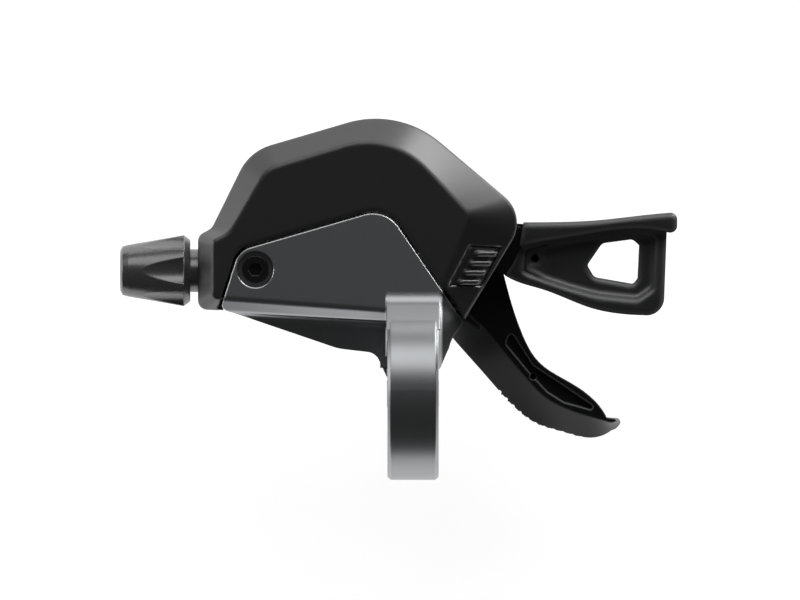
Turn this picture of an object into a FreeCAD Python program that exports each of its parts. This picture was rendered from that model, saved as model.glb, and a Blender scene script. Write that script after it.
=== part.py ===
import FreeCAD, Part
import math
import os

V = FreeCAD.Vector
os.makedirs("parts", exist_ok=True)

# Frame
# The origin is the centre of the handlebar bore. +X runs along the bar towards
# the levers, +Y points forward, +Z points up out of the flat top of the body.
# All lengths are millimetres and all angles are degrees.

# Handlebar clamp
BAR_DIAMETER = 22.2
CLAMP_FIT = 0.05
CLAMP_WALL = 3.25
CLAMP_WIDTH = 8.2
CLAMP_EDGE = 0.5
BAR_PASSING_GAP = 0.5
LUG_GAP = 1.6
LUG_WALL = 4.4
LUG_WIDTH = 7.8
LUG_BITE = 1.4
LUG_TURN = 20.0
LUG_BOLT_END = 1.0
PINCH_BOLT_DROP = 17.9
PINCH_BOLT_DIAMETER = 5.0
PINCH_HEAD_DIAMETER = 8.4
PINCH_HEAD_HEIGHT = 4.6
PINCH_SOCKET = 4.0
PINCH_SOCKET_DEPTH = 2.7
PINCH_HEAD_ROUND = 0.6
THREAD_FIT = 0.05
# How far a cutter runs past the face that it opens
OVERRUN = 1.0

# Body levels
TOP_Z = 6.0
PLATE_THICKNESS = 3.0
BEVEL_DROP = 4.0
COVER_WALL = 1.6
SPLIT_Z = -9.4
FLOOR_Z = -17.4
FLOOR_WALL = 1.4
SEAM = 0.5
COVER_JOINT_GAP = 0.2
LOWER_CHAMFER = 1.0

# Body outline in plan, each corner as x, y and corner radius
BODY_CORNERS = [
    (-34.4, 12.9, 1.5),
    (-34.4, 24.7, 1.5),
    (-32.2, 25.9, 2.0),
    (-26.13, 38.2, 8.0),
    (-2.24, 45.2, 16.0),
    (18.27, 27.9, 5.5),
    (8.0, 10.88, 0.8),
]
# Edge of the flat top inside the bevel band, one corner for each body corner
TOP_CORNERS = [
    (-32.0, 14.6, 1.0),
    (-32.0, 23.9, 1.0),
    (-29.4, 25.2, 3.0),
    (-23.5, 35.3, 5.0),
    (-3.4, 41.4, 13.0),
    (9.12, 28.0, 1.6),
    (2.6, 12.4, 0.8),
]
# Lower cover outline
LOWER_CORNERS = [
    (-30.2, 16.9, 1.5),
    (-30.2, 25.2, 4.0),
    (-25.4, 37.6, 7.6),
    (-2.3, 44.6, 15.6),
    (17.6, 27.8, 5.1),
    (9.2, 13.6, 1.2),
]

# Inside of the upper cover beside the adjuster boss and behind, in plan
CAVITY_LEFT = [(-30.4, 8.0, 0.5), (-30.4, 24.6, 1.0), (-30.2, 26.4, 2.0)]
CAVITY_LEFT_TOP = [(-29.4, 8.0, 0.5), (-29.4, 24.4, 1.0), (-28.6, 25.8, 2.5)]
# Slot of the lower cover for the release arm, as radius and angle about the axle
RELEASE_SLOT = [(30.0, -60.0), (30.0, -3.0), (15.5, 2.0), (12.0, -30.0), (15.5, -62.0)]

# Bracket plate outline in plan
PLATE_CORNERS = [
    (-30.64, 13.28, 0.6),
    (-27.79, 22.24, 3.4),
    (-4.4, 29.02, 4.9),
    (8.0, 10.88, 0.5),
    (5.44, 6.08, 3.0),
    (4.3, 3.4, 0.3),
    (-4.2, 2.0, 0.3),
    (-6.0, 5.9, 2.2),
    (-12.0, 6.6, 8.0),
    (-29.92, 12.7, 0.4),
]
# Rear of the bracket: a slanted band under the top's rear edge, an upright wall and
# a low flange. The band gets wider towards the knob, by so much a millimetre.
FOLD_POINT = (-6.1, 12.64)
FOLD_SLOPE = 4.57
BAND_WIDTH = 1.44
BAND_GROWTH = 0.0267
BAND_DROP = 2.2
FOLD_RADIUS = 1.3
REAR_WALL = 1.7
FLANGE_TOP_Z = -11.7
FLANGE_THICKNESS = 1.6
SHELL_ENDS = (-36.0, 12.0)
SHELL_FRONT_Y = 40.0
SHELL_REAR_Y = -14.0

# Neck between the plate and the clamp ring
NECK_WIDTH = 8.6
NECK_LEAN = 43.5
NECK_LAND = 0.3
NECK_FILLET = 3.2
NECK_BITE = 0.12
NECK_CORE = (8.0, 8.6)
NECK_REAR_Y = 5.0
FLANK_START_X = 3.9
FLANK_END_X = 8.1
FLANK_REAR_Y = 3.0
FLANK_DIP = 0.3
FLANK_LAP = 0.1
FOLD_END_Y = 13.2
# Open rear end of the bracket's notch in the upper cover
NOTCH_REAR_Y = -30.0
NOTCH_LEFT_X = -31.9

# Bracket screw
BRACKET_SCREW_AT = (-25.2, 19.28)
SCREW_SINK_DIAMETER = 5.8
SCREW_HEAD_DIAMETER = 4.3
SCREW_HEAD_HEIGHT = 2.0
SCREW_SINK_DEPTH = 2.4
SCREW_DIAMETER = 2.6
SCREW_SOCKET = 2.0
SCREW_SOCKET_DEPTH = 1.3
SCREW_BOSS_WALL = 1.0
LOCATING_PIN_AT = (2.4, 20.6)
LOCATING_PIN_DIAMETER = 2.0
LOCATING_PIN_WALL = 1.0

# Main axle and the stack on it
AXLE_AT = (-4.5, 29.8)
AXLE_DIAMETER = 5.0
RUN_FIT = 0.05
NUT_ACROSS_FLATS = 8.0
NUT_HEIGHT = 2.3
WASHER_THICKNESS = 0.6
WASHER_DIAMETER = 9.0
BASE_PLATE_TOP = -0.2
BASE_PLATE_THICKNESS = 1.2
STACK_GAP = 0.3
DRUM_HEIGHT = 3.8
DRUM_HUB_DIAMETER = 6.8
WHEEL_THICKNESS = 1.4
CARRIER_THICKNESS = 1.2
RETURN_SPRING_ROOM = 2.7
RELEASE_ARM_THICKNESS = 1.4
SLEEVE_DIAMETER = 7.2
MAIN_ARM_THICKNESS = 1.6
AXLE_HEAD_DIAMETER = 8.6
AXLE_HEAD_HEIGHT = 2.0
AXLE_SOCKET = 4.0
AXLE_SOCKET_DEPTH = 1.4
AXLE_HEAD_CHAMFER = 0.4

# Cable line and drum
CABLE_Y = 19.1
CABLE_DIAMETER = 1.2
DRUM_FLANGE = 0.6
# Half width of the cable groove at its mouth and floor, for one cable diameter
GROOVE_MOUTH = 0.8
GROOVE_BED = 0.4
DRUM_RECESS_INNER = 4.6
DRUM_RECESS_OUTER = 7.4
DRUM_RECESS_DEPTH = 2.9
NIPPLE_POCKET_DIAMETER = 3.6
NIPPLE_POCKET_FLOOR = 0.8
NIPPLE_ANGLE = -38.0

# Ratchet wheels and pawls
TOOTH_PITCH = 15.0
TOOTH_TIP_RADIUS = 9.2
TOOTH_HEIGHT = 1.2
STEEP_ANGLE = 1.2
PAWL_THICKNESS = 1.2
PAWL_WIDTH = 2.6
PAWL_PIN_DIAMETER = 1.6
PAWL_HOP_GAP = 0.18
PAWL_PLAY = 0.1
# Width of the pawl behind and in front of its eye, for one pawl width
PAWL_EYE_REAR = 0.42
PAWL_EYE_FRONT = 0.46
PAWL_HEEL_SHARE = 0.68
PAWL_NOSE = 1.9
PAWL_BACK = (0.7, 2.7)
TIP_PLAY_ANGLE = 0.6
HOLD_HEEL = 1.05
FEED_HEEL = 0.4
HOLD_TIP_ANGLE = 225.0
HOLD_PIVOT_ANGLE = 176.0
HOLD_PIVOT_RADIUS = 14.2
FEED_TIP_ANGLE = -75.0
FEED_PIVOT_ANGLE = -112.0
FEED_PIVOT_RADIUS = 11.6
FEED_LIFT = 0.5
FEED_DROP = 11.0
HOLD_LIFT = 9.6
RELEASE_TURN = 12.0
LIFT_PIN_SHARE = 0.62
LIFT_PIN_ASIDE = 1.5
LIFT_PIN_DIAMETER = 1.4
CAM_GAP = 0.08
CAM_STEPS = 12
# Angles by which the cam's flanks stand off its working edge
CAM_FOOT_LEAD = 24.0
CAM_LEAD = 5.0
CAM_NOSE = 4.0
CAM_FOOT_TAIL = 26.0
CARRIER_DISC_DIAMETER = 14.0
CARRIER_LOBE_WALL = 1.1
CARRIER_ROOT_HALF = 32.0
CARRIER_LOBE_HALF = 9.0

# Springs, both wound alike
SPRING_RADIUS = 6.0
SPRING_WIRE = 0.7
SPRING_PITCH = 0.85
SPRING_TURNS = 2.2
SPRING_SEAT = 0.4

# Pillars and cover screws
PILLARS = [(-17.8, 23.4), (-17.5, 35.0), (2.6, 17.2)]
PILLAR_DIAMETER = 2.4
RIVET_DIAMETER = 1.6
RIVET_HEAD = 0.2
PLATE_EDGE = 1.3
# Corners of the base plates in plan, as x, y and corner radius
UPPER_PLATE_LEFT = [(17.2, 1.6), (22.0, 2.0)]
UPPER_PLATE_FRONT = (-0.9, 37.2, 2.0)
UPPER_PLATE_RIGHT = [(-8.0, 40.6, 4.0), (4.6, 34.0, 5.0), (6.4, 22.4, 3.0), (4.9, 15.3, 1.2)]
LOWER_PLATE_LEFT = [(0.0, 21.0, 2.0), (0.4, 36.8, 2.0)]
LOWER_PLATE_RIGHT = [
    (-8.0, 39.8, 4.0),
    (3.6, 33.0, 5.0),
    (5.6, 22.4, 3.0),
    (4.6, 15.6, 1.2),
    (0.0, 16.0, 1.2),
]
COVER_SCREWS = [(-26.8, 29.5), (-15.5, 38.4), (12.6, 29.9)]
COVER_SCREW_DIAMETER = 2.0
COVER_SCREW_HEAD = 3.6
COVER_SCREW_HEAD_HEIGHT = 1.4
COVER_SCREW_LENGTH = 14.0
COVER_SCREW_SINK = 0.1
COVER_SCREW_SOCKET = 1.6
COVER_SCREW_SOCKET_DEPTH = 0.9
POST_DIAMETER = 4.0

# Cable adjuster
BOSS_DIAMETER = 10.6
BOSS_FACE_X = -34.4
BOSS_START = 1.0
BOSS_INNER_X = -27.6
BUSH_DIAMETER = 6.4
BUSH_LENGTH = 3.6
ADJUSTER_BOLT_DIAMETER = 5.0
ADJUSTER_BORE = 1.8
HOUSING_SOCKET_DIAMETER = 4.3
HOUSING_SOCKET_DEPTH = 7.0
KNOB_LENGTH = 11.2
KNOB_GAP = 1.3
BORE_LAP = 0.01
KNOB_SMALL_DIAMETER = 8.3
KNOB_LARGE_DIAMETER = 11.4
KNOB_NECK_DIAMETER = 6.9
KNOB_NECK_REACH = 2.2
# Rounded small end: steps along the axis and below the small radius
KNOB_NOSE = [(0.0, 0.9), (0.35, 0.25), (1.3, 0.0)]
KNOB_HEEL = (1.0, 0.75)
KNOB_FLUTES = 6
FLUTE_RADIUS = 3.6
FLUTE_FLOOR = 4.55
FLUTE_START = 2.0
FLUTE_END = 1.0
DETENT_WIDTH = 0.9
BOLT_END_GAP = 0.4

# Levers
RELEASE_ARM_REACH = 27.7
RELEASE_HUB_DIAMETER = 13.2
RELEASE_PAD_BOTTOM = -17.4
RELEASE_WALL_TOP = -8.0
RELEASE_FRAME_TOP = -10.8
RELEASE_SKIN = 0.5
RELEASE_SOCKET_DIAMETER = 1.3
RELEASE_SOCKET_FLOOR = 1.0
LOCK_HOLE_WALL = 0.5
# Blade of the release arm, as angles about the axle
RELEASE_BLADE_ROOT = (52.0, -92.0)
RELEASE_BLADE_WAIST_RADIUS = 13.0
RELEASE_BLADE_WAIST = (2.0, -42.0)
RELEASE_BLADE_END = (-13.0, -27.5)
ARM_BITE = 0.1
MAIN_HUB_DIAMETER = 13.6
MAIN_BLADE_ROOT = (8.0, -100.0)
MAIN_PAD_BOTTOM = -26.0
MAIN_EDGE_Z = -22.6
MAIN_POCKET_DEPTH = 1.6
MAIN_HOLE_DIAMETER = 1.0
MAIN_HOLE_DEPTH = 5.0
TOOTH_CUT_RADIUS = 0.42
TOOTH_CUT_SINK = 0.35
TOOTH_CUTS = 11
TOOTH_CUT_START = 0.40
TOOTH_CUT_STEP = 0.045
TOOTH_CUT_RISE = 1.2
CAP_CLEARANCE = 0.1
CAP_DEPTH = 2.6
CAP_SINK = 0.25
CAP_ROOM = 12.0
# Growth of a corner for each millimetre of growth of an edge
CAP_SPREAD = 1.4
RIB_HEIGHT = 0.45
RIB_WIDTH = 0.7
RIB_LENGTH = 4.0
RIB_PITCH = 1.5
RIB_SHIFT = 0.9
RIB_COUNT = 4
RIB_START = (1.0, 0.75)
RIB_TRIM = 0.8
RIB_SLANT = 0.55
RIB_ROOT = 0.4

# Levels of the stack, each worked out from the one above
bar_radius = BAR_DIAMETER / 2
bore_radius = bar_radius + CLAMP_FIT
ring_radius = bar_radius + CLAMP_FIT + CLAMP_WALL
plate_under = TOP_Z - PLATE_THICKNESS
base_under = BASE_PLATE_TOP - BASE_PLATE_THICKNESS
drum_top = base_under - STACK_GAP
drum_under = drum_top - DRUM_HEIGHT
index_under = drum_under - WHEEL_THICKNESS
feed_under = index_under - WHEEL_THICKNESS
carrier_top = feed_under - STACK_GAP
carrier_under = carrier_top - CARRIER_THICKNESS
release_top = carrier_under - RETURN_SPRING_ROOM - STACK_GAP
release_under = release_top - RELEASE_ARM_THICKNESS
lower_plate_top = release_under - STACK_GAP
lower_plate_under = lower_plate_top - BASE_PLATE_THICKNESS
main_arm_top = FLOOR_Z - 2 * STACK_GAP
main_arm_under = main_arm_top - MAIN_ARM_THICKNESS
axle_head_top = main_arm_under - WASHER_THICKNESS
cable_z = (drum_top + drum_under) / 2
groove_radius = AXLE_AT[1] - CABLE_Y
axle_radius = AXLE_DIAMETER / 2
sleeve_radius = SLEEVE_DIAMETER / 2
hub_radius = DRUM_HUB_DIAMETER / 2


def polar(radius, angle, centre=AXLE_AT):
    """Point in plan at a radius and an angle about a centre, the axle by default."""
    turn = math.radians(angle)
    return (centre[0] + radius * math.cos(turn), centre[1] + radius * math.sin(turn))


def soft_wire(corners):
    """Closed wire through points in space, each with the radius of its tangent arc."""
    count = len(corners)
    joins = []
    for i in range(count):
        here, radius = corners[i]
        before = corners[i - 1][0] - here
        after = corners[(i + 1) % count][0] - here
        before.normalize()
        after.normalize()
        half = before.getAngle(after) / 2
        reach = radius / math.tan(half)
        middle = before + after
        middle.normalize()
        centre = here + middle * (radius / math.sin(half))
        joins.append((here + before * reach, centre - middle * radius, here + after * reach))
    edges = []
    for i in range(count):
        start, mid, end = joins[i]
        if corners[i][1] > 0:
            edges.append(Part.Arc(start, mid, end).toShape())
        edges.append(Part.LineSegment(end, joins[(i + 1) % count][0]).toShape())
    return Part.Wire(edges)


def rounded_wire(corners, z=0.0):
    """Closed wire in plan through corners given as x, y and radius."""
    return soft_wire([(V(x, y, z), radius) for x, y, radius in corners])


def inset(corners, distance):
    """The same corners with each side moved inwards; corners run clockwise."""
    moved = []
    count = len(corners)
    for i in range(count):
        x, y, radius = corners[i]
        px, py, _ = corners[i - 1]
        nx, ny, _ = corners[(i + 1) % count]
        a = V(x - px, y - py, 0)
        b = V(nx - x, ny - y, 0)
        a.normalize()
        b.normalize()
        normal_a = V(a.y, -a.x, 0)
        normal_b = V(b.y, -b.x, 0)
        share = distance / (1 + normal_a.dot(normal_b))
        point = V(x, y, 0) + (normal_a + normal_b) * share
        turn = a.cross(b).z
        grown = radius - distance if turn < 0 else radius + distance
        moved.append((point.x, point.y, max(grown, 0.2)))
    return moved


def prism(corners, low, high):
    """Upright solid over a rounded outline."""
    face = Part.Face(rounded_wire(corners, low))
    return face.extrude(V(0, 0, high - low))


def slab(points, low, high):
    """Upright solid over a straight-sided outline."""
    corners = [V(x, y, low) for x, y in points]
    return Part.Face(Part.makePolygon(corners + corners[:1])).extrude(V(0, 0, high - low))


def post(at, radius, low, high):
    """Upright round solid at a point in plan."""
    return Part.makeCylinder(radius, high - low, V(at[0], at[1], low), V(0, 0, 1))


def rod(x0, x1, radius, y=CABLE_Y, z=None):
    """Round solid along X, on the cable line unless told otherwise."""
    level = cable_z if z is None else z
    return Part.makeCylinder(radius, x1 - x0, V(x0, y, level), V(1, 0, 0))


def hexagon(at, across_flats, low, high):
    """Upright six-sided solid."""
    corner = across_flats / 2 / math.cos(math.pi / 6)
    points = []
    for i in range(7):
        x, y = polar(corner, 60 * i, at)
        points.append(V(x, y, low))
    return Part.Face(Part.makePolygon(points)).extrude(V(0, 0, high - low))


def bevelled(outer, top, low, shoulder, high):
    """Upright solid that leans in from the outer outline to the top outline."""
    base = prism(outer, low, shoulder)
    crown = Part.makeLoft([rounded_wire(outer, shoulder), rounded_wire(top, high)], True, True)
    return base.fuse(crown).removeSplitter()


def coil(centre, start):
    """Coil spring about an upright axis, its first turn at a start level."""
    helix = Part.makeHelix(SPRING_PITCH, SPRING_PITCH * SPRING_TURNS, SPRING_RADIUS)
    profile = Part.Wire(Part.makeCircle(SPRING_WIRE / 2, V(SPRING_RADIUS, 0, 0), V(0, 1, 0)))
    swept = Part.Wire(helix.Edges).makePipeShell([profile], True, True)
    swept.translate(V(centre[0], centre[1], start))
    return swept


def save(node, shape):
    """Write one node's STEP file and say how big it is."""
    shape.exportStep("parts/" + node + ".step")
    box = shape.BoundBox
    print(node, len(shape.Solids), "solids", round(shape.Volume, 1), "mm3", shape.isValid(),
          "z", round(box.ZMin, 2), round(box.ZMax, 2))


def fold_y(x):
    """Y of the fold line where the plate turns down into the rear wall."""
    return FOLD_POINT[1] - math.tan(math.radians(FOLD_SLOPE)) * (x - FOLD_POINT[0])


def wall_y(x):
    """Y of the rear wall's outer face, at the foot of the slanted band."""
    return fold_y(x) - BAND_WIDTH - BAND_GROWTH * (FOLD_POINT[0] - x)


def shell_section(x):
    """Section of the bent bracket across the bar at one place along it."""
    wall = wall_y(x)
    low = FLANGE_TOP_Z - FLANGE_THICKNESS
    return soft_wire([
        (V(x, SHELL_FRONT_Y, TOP_Z), 0),
        (V(x, fold_y(x), TOP_Z), FOLD_RADIUS),
        (V(x, wall, TOP_Z - BAND_DROP), FOLD_RADIUS),
        (V(x, wall, FLANGE_TOP_Z), FOLD_RADIUS),
        (V(x, SHELL_REAR_Y, FLANGE_TOP_Z), 0),
        (V(x, SHELL_REAR_Y, low), 0),
        (V(x, wall + REAR_WALL, low), 0),
        (V(x, wall + REAR_WALL, plate_under), 0),
        (V(x, SHELL_FRONT_Y, plate_under), 0),
    ])


def bracket_shell():
    """Top plate, slanted band, rear wall and low flange, cut to their plan."""
    low = FLANGE_TOP_Z - FLANGE_THICKNESS - OVERRUN
    high = TOP_Z + OVERRUN
    section = Part.makeLoft([shell_section(x) for x in SHELL_ENDS], True, True)
    shell = section.common(prism(PLATE_CORNERS, low, high))
    corner_x = FLANK_START_X + FLANK_LAP
    corner = Part.makeBox(SHELL_ENDS[1] - corner_x, FOLD_END_Y - SHELL_REAR_Y, high - low,
                          V(corner_x, SHELL_REAR_Y, low))
    return shell.cut(corner)


def neck_line(x):
    """Points of the neck's top line: crest on the ring, slope end, fillet, flat start."""
    lean = math.radians(NECK_LEAN)
    reach_radius = ring_radius - NECK_BITE
    touch = V(x, reach_radius * math.sin(lean), reach_radius * math.cos(lean))
    run = (touch.z - TOP_Z) / math.tan(lean)
    corner = V(x, touch.y + run, TOP_Z)
    reach = NECK_FILLET * math.tan(lean / 2)
    slope_end = corner + V(0, -math.cos(lean), math.sin(lean)) * reach
    flat_start = corner + V(0, reach, 0)
    mid = flat_start + V(0, -math.sin(lean / 2), 1 - math.cos(lean / 2)) * NECK_FILLET
    return touch, slope_end, mid, flat_start


def neck():
    """Sloped web from the plate up to the ring, tangent to the ring's crown."""
    lean = math.radians(NECK_LEAN)
    touch, slope_end, mid, flat_start = neck_line(-NECK_WIDTH / 2)
    x = touch.x
    crest = touch + V(0, -math.cos(lean), math.sin(lean)) * NECK_BITE
    root = V(x, flat_start.y + NECK_LAND, TOP_Z)
    under = V(x, root.y, plate_under)
    wall_top = V(x, wall_y(0) + REAR_WALL, plate_under)
    low_z = FLANGE_TOP_Z - FLANGE_THICKNESS
    wall_low = V(x, wall_y(0) + REAR_WALL, low_z)
    ring_low = V(x, NECK_REAR_Y, low_z)
    inside = V(x, NECK_CORE[0], NECK_CORE[1])
    outline = [flat_start, root, under, wall_top, wall_low, ring_low, inside, crest, slope_end]
    edges = [Part.Arc(slope_end, mid, flat_start).toShape()]
    for start, end in zip(outline, outline[1:]):
        edges.append(Part.LineSegment(start, end).toShape())
    return Part.Face(Part.Wire(edges)).extrude(V(NECK_WIDTH, 0, 0))


def flank():
    """Flank beside the neck, falling from the ring to the plate's lever-side corner."""
    reach_radius = ring_radius - NECK_BITE
    touch, slope_end, mid, flat_start = neck_line(FLANK_START_X)
    x = FLANK_START_X
    under = plate_under + FLANK_DIP
    half_y = (FLANK_REAR_Y + touch.y) / 2
    rear = V(x, FLANK_REAR_Y, math.sqrt(reach_radius ** 2 - FLANK_REAR_Y ** 2))
    crown = V(x, half_y, math.sqrt(reach_radius ** 2 - half_y ** 2))
    front_low = V(x, flat_start.y, under)
    rear_low = V(x, FLANK_REAR_Y, under)
    near = Part.Wire([
        Part.Arc(rear, crown, touch).toShape(),
        Part.LineSegment(touch, slope_end).toShape(),
        Part.Arc(slope_end, mid, flat_start).toShape(),
        Part.LineSegment(flat_start, front_low).toShape(),
        Part.LineSegment(front_low, rear_low).toShape(),
        Part.LineSegment(rear_low, rear).toShape(),
    ])
    flat = [V(FLANK_END_X, point.y, TOP_Z - FLANK_DIP) for point in (rear, touch, slope_end, flat_start)]
    flat += [V(FLANK_END_X, flat_start.y, under), V(FLANK_END_X, FLANK_REAR_Y, under)]
    far = Part.makePolygon(flat + flat[:1])
    body = Part.makeLoft([near, far], True, True)
    return body.common(prism(PLATE_CORNERS, plate_under - OVERRUN, ring_radius + OVERRUN))


def lugs():
    """Two clamp lugs under the ring, with rounded ends round the pinch bolt."""
    half = LUG_WIDTH / 2
    span = LUG_GAP + 2 * LUG_WALL
    inner = bore_radius + LUG_BITE
    block = Part.makeBox(LUG_WIDTH, span, PINCH_BOLT_DROP - inner,
                         V(-half, -span / 2, -PINCH_BOLT_DROP))
    end = Part.makeCylinder(half, span, V(0, -span / 2, -PINCH_BOLT_DROP), V(0, 1, 0))
    return block.fuse(end)


def lug_cuts():
    """Gap between the lugs and the stepped hole for the pinch bolt."""
    gap = Part.makeBox(CLAMP_WIDTH + 2 * OVERRUN, LUG_GAP, 2 * (PINCH_BOLT_DROP + OVERRUN) - bore_radius,
                       V(-CLAMP_WIDTH / 2 - OVERRUN, -LUG_GAP / 2, -2 * PINCH_BOLT_DROP))
    span = LUG_GAP + 2 * LUG_WALL + 2 * OVERRUN
    hole = Part.makeCylinder(PINCH_BOLT_DIAMETER / 2 + THREAD_FIT, span,
                             V(0, -span / 2, -PINCH_BOLT_DROP), V(0, 1, 0))
    return gap.fuse(hole)


def turned(shape):
    """The clamp lugs and bolt sit turned about the bar, out of sight from above."""
    shape.rotate(V(0, 0, 0), V(1, 0, 0), LUG_TURN)
    return shape


def bracket():
    """One casting: top plate, rear wall, low flange, neck, clamp ring and lugs."""
    bar_room = Part.makeCylinder(bore_radius + BAR_PASSING_GAP, SHELL_ENDS[1] - SHELL_ENDS[0],
                                 V(SHELL_ENDS[0], 0, 0), V(1, 0, 0))
    body = bracket_shell().fuse(flank()).cut(bar_room)
    ring = Part.makeCylinder(ring_radius, CLAMP_WIDTH, V(-CLAMP_WIDTH / 2, 0, 0), V(1, 0, 0))
    rims = [edge for edge in ring.Edges if abs(edge.Length - ring_radius * 2 * math.pi) < 0.01]
    ring = ring.makeChamfer(CLAMP_EDGE, rims)
    body = body.fuse([ring, neck(), turned(lugs())])
    boss_radius = SCREW_DIAMETER / 2 + SCREW_BOSS_WALL
    boss_top = plate_under + SCREW_BOSS_WALL / 2
    body = body.fuse(post(BRACKET_SCREW_AT, boss_radius, BASE_PLATE_TOP, boss_top))
    pin_radius = LOCATING_PIN_DIAMETER / 2
    body = body.fuse(post(LOCATING_PIN_AT, pin_radius + LOCATING_PIN_WALL, BASE_PLATE_TOP, boss_top))
    body = body.fuse(post(LOCATING_PIN_AT, pin_radius, base_under, BASE_PLATE_TOP + LOCATING_PIN_WALL))
    bore = Part.makeCylinder(bore_radius, CLAMP_WIDTH + 2 * OVERRUN,
                             V(-CLAMP_WIDTH / 2 - OVERRUN, 0, 0), V(1, 0, 0))
    sink = post(BRACKET_SCREW_AT, SCREW_SINK_DIAMETER / 2, TOP_Z - SCREW_SINK_DEPTH, TOP_Z + OVERRUN)
    shank = post(BRACKET_SCREW_AT, SCREW_DIAMETER / 2 + THREAD_FIT, BASE_PLATE_TOP - OVERRUN, TOP_Z)
    return body.cut([bore, turned(lug_cuts()), sink, shank])


def clamp_bolt():
    """Hex socket pinch bolt across the clamp lugs."""
    span = LUG_GAP + 2 * LUG_WALL
    rear = -span / 2
    shank = Part.makeCylinder(PINCH_BOLT_DIAMETER / 2, span + LUG_BOLT_END,
                              V(0, rear, -PINCH_BOLT_DROP), V(0, 1, 0))
    head = Part.makeCylinder(PINCH_HEAD_DIAMETER / 2, PINCH_HEAD_HEIGHT,
                             V(0, rear, -PINCH_BOLT_DROP), V(0, -1, 0))
    outer_rim = [e for e in head.Edges if e.BoundBox.YMax < rear - PINCH_HEAD_HEIGHT + THREAD_FIT]
    head = head.makeFillet(PINCH_HEAD_ROUND, outer_rim)
    corner = PINCH_SOCKET / 2 / math.cos(math.pi / 6)
    points = []
    for i in range(7):
        angle = math.radians(60 * i)
        points.append(V(corner * math.cos(angle), rear - PINCH_HEAD_HEIGHT - OVERRUN,
                        corner * math.sin(angle) - PINCH_BOLT_DROP))
    socket = Part.Face(Part.makePolygon(points)).extrude(V(0, PINCH_SOCKET_DEPTH + OVERRUN, 0))
    return turned(shank.fuse(head).cut(socket))


def bracket_screw():
    """Socket head screw that fastens the bracket to the upper base plate."""
    seat = TOP_Z - SCREW_SINK_DEPTH
    top = seat + SCREW_HEAD_HEIGHT
    head = post(BRACKET_SCREW_AT, SCREW_HEAD_DIAMETER / 2, seat, top)
    shank = post(BRACKET_SCREW_AT, SCREW_DIAMETER / 2, base_under, seat)
    socket = hexagon(BRACKET_SCREW_AT, SCREW_SOCKET, top - SCREW_SOCKET_DEPTH, top + OVERRUN)
    return head.fuse(shank).cut(socket)


def notch():
    """Room for the bracket in the upper cover, the plate's outline plus the seam."""
    front = PLATE_CORNERS[:4]
    rear = [(front[-1][0], NOTCH_REAR_Y, 1.0), (NOTCH_LEFT_X, NOTCH_REAR_Y, 1.0)]
    return prism(inset(front + rear, -SEAM), SPLIT_Z - OVERRUN, TOP_Z + OVERRUN)


def rear_room():
    """Room for the bracket's rear wall where it passes the adjuster boss."""
    left, right = SHELL_ENDS
    room = [(left, NOTCH_REAR_Y), (right, NOTCH_REAR_Y)]
    for x in (right, left):
        room.append((x, wall_y(x) + REAR_WALL + SEAM))
    return slab(room, SPLIT_Z - OVERRUN, TOP_Z + OVERRUN).common(notch())


def bevel_plane():
    """Centre and outward normal of the bevel beside the levers."""
    low_a = V(BODY_CORNERS[5][0], BODY_CORNERS[5][1], TOP_Z - BEVEL_DROP)
    low_b = V(BODY_CORNERS[6][0], BODY_CORNERS[6][1], TOP_Z - BEVEL_DROP)
    high_a = V(TOP_CORNERS[5][0], TOP_CORNERS[5][1], TOP_Z)
    high_b = V(TOP_CORNERS[6][0], TOP_CORNERS[6][1], TOP_Z)
    along = low_a + high_a - low_b - high_b
    across = low_a + low_b - high_a - high_b
    normal = across.cross(along)
    normal.normalize()
    if normal.z < 0:
        normal = normal * -1
    return (low_a + low_b + high_a + high_b) * 0.25, normal


CAP_CORNERS = [(9.2, 22.9), (14.2, 22.8), (11.1, 16.7), (5.9, 16.8)]


def on_bevel(x, y, lift=0.0):
    """Point on the bevel face straight above a point in plan."""
    centre, normal = bevel_plane()
    z = centre.z - (normal.x * (x - centre.x) + normal.y * (y - centre.y)) / normal.z
    return V(x, y, z) + normal * lift


def cap_block(grow, low, high):
    """Slanted block under the cap's outline, between two depths along the normal."""
    cx = sum(x for x, y in CAP_CORNERS) / 4
    cy = sum(y for x, y in CAP_CORNERS) / 4
    points = []
    for x, y in CAP_CORNERS:
        away = math.hypot(x - cx, y - cy)
        share = 1 + grow * CAP_SPREAD / away
        points.append(on_bevel(cx + (x - cx) * share, cy + (y - cy) * share, low))
    points.append(points[0])
    normal = bevel_plane()[1]
    return Part.Face(Part.makePolygon(points)).extrude(normal * (high - low))


def cable_hole_cap():
    """Plug of the cable entry hole, with grip ribs across its face."""
    cap = cap_block(0.0, -CAP_DEPTH, -CAP_SINK)
    normal = bevel_plane()[1]
    for i in range(RIB_COUNT):
        x0 = CAP_CORNERS[0][0] + RIB_START[0] - RIB_SHIFT * i
        x1 = x0 + RIB_LENGTH - RIB_TRIM
        y0 = CAP_CORNERS[0][1] - RIB_START[1] - RIB_PITCH * i
        y1 = y0 - RIB_WIDTH
        slant = RIB_WIDTH * RIB_SLANT
        points = [
            on_bevel(x0, y0, -RIB_ROOT),
            on_bevel(x1, y0, -RIB_ROOT),
            on_bevel(x1 - slant, y1, -RIB_ROOT),
            on_bevel(x0 - slant, y1, -RIB_ROOT),
        ]
        points.append(points[0])
        rib = Part.Face(Part.makePolygon(points)).extrude(normal * (RIB_ROOT + RIB_HEIGHT))
        cap = cap.fuse(rib)
    return cap.removeSplitter()


def boss_bore():
    """Stepped bore of the adjuster boss along the cable line."""
    bush_start = BOSS_INNER_X - BUSH_LENGTH
    neck_room = rod(BOSS_FACE_X - OVERRUN, bush_start, KNOB_NECK_DIAMETER / 2 + RUN_FIT)
    bush_room = rod(bush_start, BOSS_INNER_X + OVERRUN, BUSH_DIAMETER / 2)
    return neck_room.fuse(bush_room)


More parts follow.
